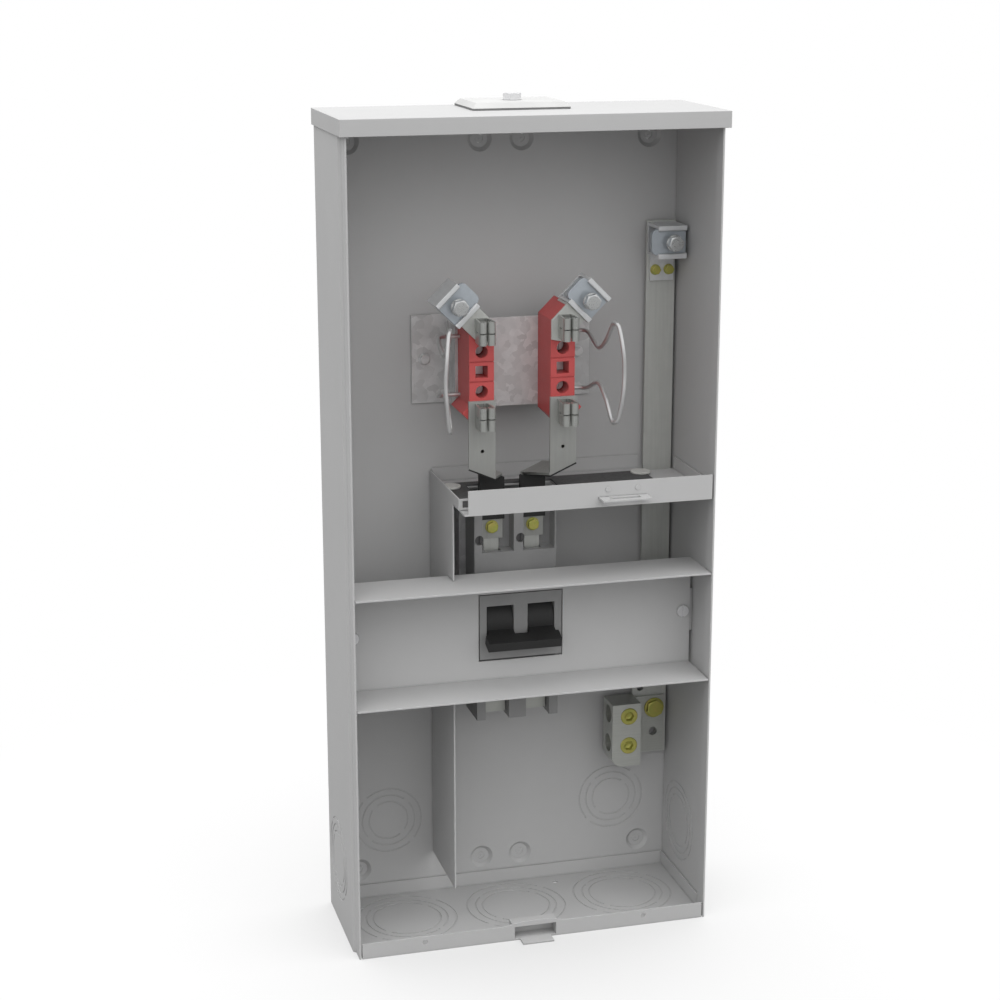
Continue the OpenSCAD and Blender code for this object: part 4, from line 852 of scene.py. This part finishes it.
class METER_OT_paint_box(bpy.types.Operator):
    """Coats the sheet metal of the box"""

    bl_idname = "meter_box.paint_box"
    bl_label = "Paint Box"

    def execute(self, context):
        sizes = context.scene.meter_sizes
        dress(["bottom_pan", "top_cap"], sizes.sheet_edge)
        dress(["back_and_sides"], sizes.pressed_edge)
        disc_middle = -0.75 * MM

        def build(bm):
            for mount in frame["record"]["mounts"]:
                if mount["kind"] == "bolt_pattern":
                    wide = mount["dims"]["spacing_x_mm"] / 2 * MM
                    tall = mount["dims"]["spacing_y_mm"] / 2 * MM
                    for x, z in ((-wide, -tall), (wide, -tall), (-wide, tall), (wide, tall)):
                        wall_disc(bm, forward_at(x, disc_middle, z), sizes.knockout / 2)

        add_piece("wall_knockouts", new_mesh("wall_knockouts", build), "back_and_sides")
        return {"FINISHED"}


class METER_OT_close_hub(bpy.types.Operator):
    """Finishes the hub closing plate and fits its bolt"""

    bl_idname = "meter_box.close_hub"
    bl_label = "Close Hub"

    def execute(self, context):
        sizes = context.scene.meter_sizes
        dress(["closing_plate"], sizes.lug_edge)
        dress(["closing_gasket", "closing_bar"], sizes.strap_edge)
        low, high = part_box("closing_bolt")
        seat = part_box("closing_plate")[1].z
        place = Matrix.Translation(((low.x + high.x) / 2, (low.y + high.y) / 2, seat))
        thread_end, head_rear = 0.5 * MM, 0.4 * MM

        def build(bm):
            threaded_rod(bm, place, HUB_BOLT.shank, low.z - seat, thread_end, HUB_BOLT.pitch)
            washer_face(bm, place, HUB_BOLT.washer, HUB_BOLT.rim)
            hex_head(bm, place, HUB_BOLT.flats, head_rear, HUB_BOLT.head)

        swap_piece("hub_bolt", new_mesh("hub_bolt", build), "closing_bolt")
        return {"FINISHED"}


class METER_OT_fit_shelf(bpy.types.Operator):
    """Finishes the divider, the shelf and its barrier, and the hasp"""

    bl_idname = "meter_box.fit_shelf"
    bl_label = "Fit Shelf"

    def execute(self, context):
        sizes = context.scene.meter_sizes
        dress(["divider", "shelf", "seal_hasp"], sizes.sheet_edge)
        dress(["hasp_rivets"], sizes.pressed_edge)
        dress(["shelf_barrier", "barrier_buttons"], sizes.moulded_edge)
        return {"FINISHED"}


class METER_OT_fit_dead_front(bpy.types.Operator):
    """Finishes the dead front, its brackets and its screws"""

    bl_idname = "meter_box.fit_dead_front"
    bl_label = "Fit Dead Front"

    def execute(self, context):
        sizes = context.scene.meter_sizes
        dress(["dead_front", "dead_front_brackets"], sizes.sheet_edge)
        dress(["dead_front_screws"], sizes.strap_edge)
        return {"FINISHED"}


class METER_OT_build_meter_blocks(bpy.types.Operator):
    """Finishes the hat bracket, the red blocks, the jaws, the plates and the load buses"""

    bl_idname = "meter_box.build_meter_blocks"
    bl_label = "Build Meter Blocks"

    def execute(self, context):
        sizes = context.scene.meter_sizes
        dress(["block_bracket"], sizes.sheet_edge)
        dress(["meter_block_left", "meter_block_right"], sizes.moulded_edge)
        straps = ["line_plate_left", "line_plate_right", "meter_jaws", "block_screws"]
        buses = ["load_bus_left", "load_bus_right"]
        dress(straps + buses, sizes.strap_edge)
        # The buses take the darker copy of the tin plate, a painted shade
        for node in buses:
            wear(frame["nodes"][node], "shaded_tin_bus")
        dress(["bus_sleeve_left", "bus_sleeve_right"], sizes.strap_edge)
        screw_pair("bracket_screw_pair", "bracket_screws", BRACKET_SCREW)
        return {"FINISHED"}


class METER_OT_bolt_lugs(bpy.types.Operator):
    """Finishes the lug channels, bridges and pads, and fits their bolts"""

    bl_idname = "meter_box.bolt_lugs"
    bl_label = "Bolt Lugs"

    def execute(self, context):
        sizes = context.scene.meter_sizes
        dress(["line_lug_left", "line_lug_right", "neutral_line_lug"], sizes.lug_edge)
        pads = ["lug_pad_left", "lug_pad_right", "lug_pad_neutral"]
        dress(["lug_bridges"] + pads, sizes.strap_edge)
        turn, flange = math.radians(12), 2.0 * MM
        for side in ("left", "right", "neutral"):
            node = "lug_bolt_" + side
            low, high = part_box(node)
            x, z = (low.x + high.x) / 2, (low.z + high.z) / 2
            seat = low.y + flange + sizes.bolt_head

            def build(bm):
                place = forward_at(x, seat, z) @ Matrix.Rotation(turn, 4, "Z")
                threaded_rod(bm, place, sizes.bolt / 2, seat - high.y, 0.3 * flange, sizes.pitch)
                washer_face(bm, place, sizes.bolt_flange, flange)
                hex_head(bm, place, sizes.bolt_flats, 0.5 * flange, flange + sizes.bolt_head)

            swap_piece(node + "_turned", new_mesh(node + "_turned", build), node)
        return {"FINISHED"}


def wire_knots(diameter):
    """Points that the right support wire passes through, from the upper socket to the lower one."""
    low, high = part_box("support_wire_right")
    socket, rise, bend_radius, front = 5.5, 25.85, 5.0, -76.5
    start = Vector((low.x + socket * MM, high.y - diameter / 2, (low.z + high.z) / 2))
    root = [
        Vector((-socket, 0.0, rise)),
        Vector((3.0, 0.0, rise)),
        Vector((14.0, 0.0, rise)),
        Vector((20.6, -6.5, rise - 1.0)),
        Vector((22.2, -31.5, rise - 10.0)),
        Vector((23.4, -50.0, rise)),
    ]
    turn = Vector((24.4, -64.0, rise + 15.8))
    way = (turn - root[-1]).normalized()
    leave = Vector((4.5, 0.0, -19.0)).normalized()
    across = (leave - leave.dot(way) * way).normalized()
    whole = way.angle(leave)
    bend = [
        turn + bend_radius * (math.sin(a) * way + (1 - math.cos(a)) * across)
        for a in (0.0, whole / 2, whole)
    ]
    half = root + bend + [Vector((30.2, front, 20.0))]
    back = [Vector((p.x, p.y, -p.z)) for p in reversed(half)]
    return [start + MM * p for p in half + [Vector((31.4, front, 0.0))] + back]


def smooth_path(knots, steps):
    """Catmull-Rom curve through the knots."""
    path = []
    last = len(knots) - 1
    for i in range(last):
        a, b = knots[max(0, i - 1)], knots[i]
        c, d = knots[i + 1], knots[min(last, i + 2)]
        for s in range(steps):
            t = s / steps
            path.append(
                0.5
                * (
                    2 * b
                    + (c - a) * t
                    + (2 * a - 5 * b + 4 * c - d) * t * t
                    + (3 * b - a - 3 * c + d) * t * t * t
                )
            )
    path.append(knots[-1])
    return path


def drawn_wire(bm, path, radius, sides):
    """Round wire along a path, with flat sheared ends."""
    last = len(path) - 1
    normal = Vector((0, 1, 0))
    rings = []
    for i, point in enumerate(path):
        along = (path[min(last, i + 1)] - path[max(0, i - 1)]).normalized()
        normal = (normal - normal.dot(along) * along).normalized()
        across = along.cross(normal)
        rings.append(
            [
                bm.verts.new(
                    point
                    + radius * math.cos(2 * math.pi * s / sides) * normal
                    + radius * math.sin(2 * math.pi * s / sides) * across
                )
                for s in range(sides)
            ]
        )
    for lower, upper in zip(rings, rings[1:]):
        bridge(bm, lower, upper)
    bm.faces.new(rings[0][::-1])
    bm.faces.new(rings[-1])


class METER_OT_bend_wires(bpy.types.Operator):
    """Bends the two support wires beside the meter blocks"""

    bl_idname = "meter_box.bend_wires"
    bl_label = "Bend Wires"

    def execute(self, context):
        diameter = context.scene.meter_sizes.wire
        steps, sides = 12, 20
        right = smooth_path(wire_knots(diameter), steps)
        left = [Vector((-p.x, p.y, p.z)) for p in right]
        for node, path in (("support_wire_right", right), ("support_wire_left", left)):
            mesh = new_mesh(node + "_drawn", lambda bm: drawn_wire(bm, path, diameter / 2, sides))
            swap_piece(node + "_drawn", mesh, node)
        return {"FINISHED"}


class METER_OT_fit_neutral(bpy.types.Operator):
    """Finishes the neutral strap and its lug, and fits its screws"""

    bl_idname = "meter_box.fit_neutral"
    bl_label = "Fit Neutral"

    def execute(self, context):
        sizes = context.scene.meter_sizes
        dress(["neutral_strap", "neutral_spacers"], sizes.strap_edge)
        dress(["neutral_load_lug"], sizes.lug_edge)
        screw_pair("neutral_screw_pair", "neutral_screws", NEUTRAL_SCREW)
        start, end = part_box("bonding_screw")
        seat = start.y + BONDING_SCREW.head
        turn = math.radians(20)

        def build_bond(bm):
            place = forward_at((start.x + end.x) / 2, seat, (start.z + end.z) / 2)
            place = place @ Matrix.Rotation(turn, 4, "Z")
            hex_screw(bm, place, BONDING_SCREW, end.y - seat)

        bond = new_mesh("bonding_screw_turned", build_bond)
        swap_piece("bonding_screw_turned", bond, "bonding_screw")
        for node in ("set_screw_upper", "set_screw_lower"):
            front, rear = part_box(node)
            x, z = (front.x + rear.x) / 2, (front.z + rear.z) / 2
            radius = (rear.x - front.x) / 2

            def build_set(bm):
                place = forward_at(x, front.y, z)
                socket_screw(bm, place, radius, rear.y - front.y, sizes.set_socket, sizes.pitch)

            swap_piece(node + "_turned", new_mesh(node + "_turned", build_set), node)
        return {"FINISHED"}


class METER_OT_fit_breaker(bpy.types.Operator):
    """Finishes the breaker, its handle, its terminals and its inner parts"""

    bl_idname = "meter_box.fit_breaker"
    bl_label = "Fit Breaker"

    def execute(self, context):
        sizes = context.scene.meter_sizes
        dress(["breaker_base", "breaker_cover", "breaker_handle"], sizes.moulded_edge)
        dress(["breaker_bracket"], sizes.sheet_edge)
        inner = ["handle_pin", "contact_arms", "fixed_contacts", "trip_units", "cover_screws"]
        dress(inner + ["load_lugs", "load_lug_screws"], sizes.strap_edge)
        screw_pair("line_screw_pair", "line_screws", LINE_SCREW, turn=math.radians(24))
        return {"FINISHED"}


def soft_sky(stage):
    """World that is white to the camera and lights the part softly, most from above."""
    world = bpy.data.worlds.new("Soft Sky")
    world.use_nodes = True
    tree = world.node_tree
    light = tree.nodes["Background"]
    light.inputs["Color"].default_value = (1, 1, 1, 1)
    leave = tree.nodes["World Output"]
    white = put(tree, "ShaderNodeBackground", {"Color": (1, 1, 1, 1), "Strength": 1.0})
    path = put(tree, "ShaderNodeLightPath")
    seen = put(tree, "ShaderNodeMath", operation="MAXIMUM")
    mirrored = put(tree, "ShaderNodeMath", operation="MAXIMUM")
    place = put(tree, "ShaderNodeTexCoord")
    split = put(tree, "ShaderNodeSeparateXYZ")
    rise = put(
        tree,
        "ShaderNodeMapRange",
        {"From Min": 0.0, "From Max": 1.0, "To Min": stage.horizon, "To Max": stage.zenith},
    )
    lean = put(tree, "ShaderNodeVectorMath", {1: stage.key}, operation="DOT_PRODUCT")
    total = put(tree, "ShaderNodeMath", operation="ADD")
    mix = put(tree, "ShaderNodeMixShader")
    join(tree, place.outputs["Generated"], split.inputs[0])
    join(tree, split.outputs["Z"], rise.inputs["Value"])
    join(tree, place.outputs["Generated"], lean.inputs[0])
    join(tree, rise.outputs["Result"], total.inputs[0])
    join(tree, lean.outputs["Value"], total.inputs[1])
    join(tree, total.outputs[0], light.inputs["Strength"])
    join(tree, path.outputs["Is Camera Ray"], seen.inputs[0])
    join(tree, path.outputs["Is Transmission Ray"], seen.inputs[1])
    join(tree, seen.outputs[0], mirrored.inputs[0])
    join(tree, path.outputs["Is Glossy Ray"], mirrored.inputs[1])
    join(tree, mirrored.outputs[0], mix.inputs[0])
    join(tree, light.outputs[0], mix.inputs[1])
    join(tree, white.outputs[0], mix.inputs[2])
    join(tree, mix.outputs[0], leave.inputs["Surface"])
    bpy.context.scene.world = world


def pale_floor(stage, height):
    """Wide floor that runs out to white and keeps the shadow of the part."""
    mesh = bpy.data.meshes.new("pale_floor")
    half = 20.0
    corners = [(x * half, y * half, height) for x, y in ((-1, -1), (1, -1), (1, 1), (-1, 1))]
    mesh.from_pydata(corners, [], [(0, 1, 2, 3)])
    floor = bpy.data.objects.new("pale_floor", mesh)
    bpy.context.scene.collection.objects.link(floor)
    material = bpy.data.materials.new("Pale Floor")
    material.use_nodes = True
    tree = material.node_tree
    tree.nodes.remove(tree.nodes["Principled BSDF"])
    leave = tree.nodes["Material Output"]
    path = put(tree, "ShaderNodeLightPath")
    lit = put(tree, "ShaderNodeBsdfDiffuse", {"Color": tuple(stage.floor) + (1.0,)})
    dim = put(tree, "ShaderNodeBsdfDiffuse", {"Color": (0.22, 0.22, 0.22, 1.0)})
    white = put(tree, "ShaderNodeEmission", {"Color": (1, 1, 1, 1), "Strength": 1.0})
    place = put(tree, "ShaderNodeTexCoord")
    far = put(tree, "ShaderNodeVectorMath", operation="LENGTH")
    fade = put(tree, "ShaderNodeMapRange", {"From Min": 0.15, "From Max": 0.75})
    shown = put(tree, "ShaderNodeMixShader")
    mix = put(tree, "ShaderNodeMixShader")
    join(tree, place.outputs["Object"], far.inputs[0])
    join(tree, far.outputs["Value"], fade.inputs["Value"])
    join(tree, fade.outputs["Result"], shown.inputs[0])
    join(tree, lit.outputs[0], shown.inputs[1])
    join(tree, white.outputs[0], shown.inputs[2])
    join(tree, path.outputs["Is Camera Ray"], mix.inputs[0])
    join(tree, dim.outputs[0], mix.inputs[1])
    join(tree, shown.outputs[0], mix.inputs[2])
    join(tree, mix.outputs[0], leave.inputs["Surface"])
    mesh.materials.append(material)


class METER_OT_set_stage(bpy.types.Operator):
    """Sets the camera, the soft light and the floor"""

    bl_idname = "meter_box.set_stage"
    bl_label = "Set Stage"

    def execute(self, context):
        scene = context.scene
        stage = scene.meter_stage
        scene.view_settings.view_transform = "Standard"
        lens = bpy.data.cameras.new("Camera")
        lens.lens = stage.lens
        lens.sensor_width = 36.0
        lens.clip_start, lens.clip_end = 0.05, 100.0
        camera = bpy.data.objects.new("Camera", lens)
        camera.location = stage.camera_place
        camera.rotation_euler = (stage.camera_tilt, 0.0, -stage.camera_turn)
        scene.collection.objects.link(camera)
        scene.camera = camera
        soft_sky(stage)
        floor_gap = 0.2 * MM
        pale_floor(stage, CAD_BOX[0].z - floor_gap)
        return {"FINISHED"}


OPERATORS = (
    METER_OT_paint_box,
    METER_OT_close_hub,
    METER_OT_fit_shelf,
    METER_OT_fit_dead_front,
    METER_OT_build_meter_blocks,
    METER_OT_bolt_lugs,
    METER_OT_bend_wires,
    METER_OT_fit_neutral,
    METER_OT_fit_breaker,
    METER_OT_set_stage,
)


class METER_PT_sidebar(bpy.types.Panel):
    """Colours, sizes and stage of the meter box, and the steps that build it"""

    bl_idname = "METER_PT_sidebar"
    bl_label = "Meter Box"
    bl_space_type = "VIEW_3D"
    bl_region_type = "UI"
    bl_category = "Meter Box"

    def draw(self, context):
        layout = self.layout
        for group in ("meter_colours", "meter_sizes", "meter_stage"):
            settings = getattr(context.scene, group)
            box = layout.box()
            for name in settings.__annotations__:
                box.prop(settings, name)
        for step in OPERATORS:
            layout.operator(step.bl_idname)


CLASSES = (MeterColours, MeterSizes, MeterStage) + OPERATORS + (METER_PT_sidebar,)


def register():
    for cls in CLASSES:
        bpy.utils.register_class(cls)
    bpy.types.Scene.meter_colours = bpy.props.PointerProperty(type=MeterColours)
    bpy.types.Scene.meter_sizes = bpy.props.PointerProperty(type=MeterSizes)
    bpy.types.Scene.meter_stage = bpy.props.PointerProperty(type=MeterStage)


def unregister():
    del bpy.types.Scene.meter_stage
    del bpy.types.Scene.meter_sizes
    del bpy.types.Scene.meter_colours
    for cls in reversed(CLASSES):
        bpy.utils.unregister_class(cls)


def main():
    register()
    for step in OPERATORS:
        area, name = step.bl_idname.split(".")
        getattr(getattr(bpy.ops, area), name)()


if __name__ == "__main__":
    main()
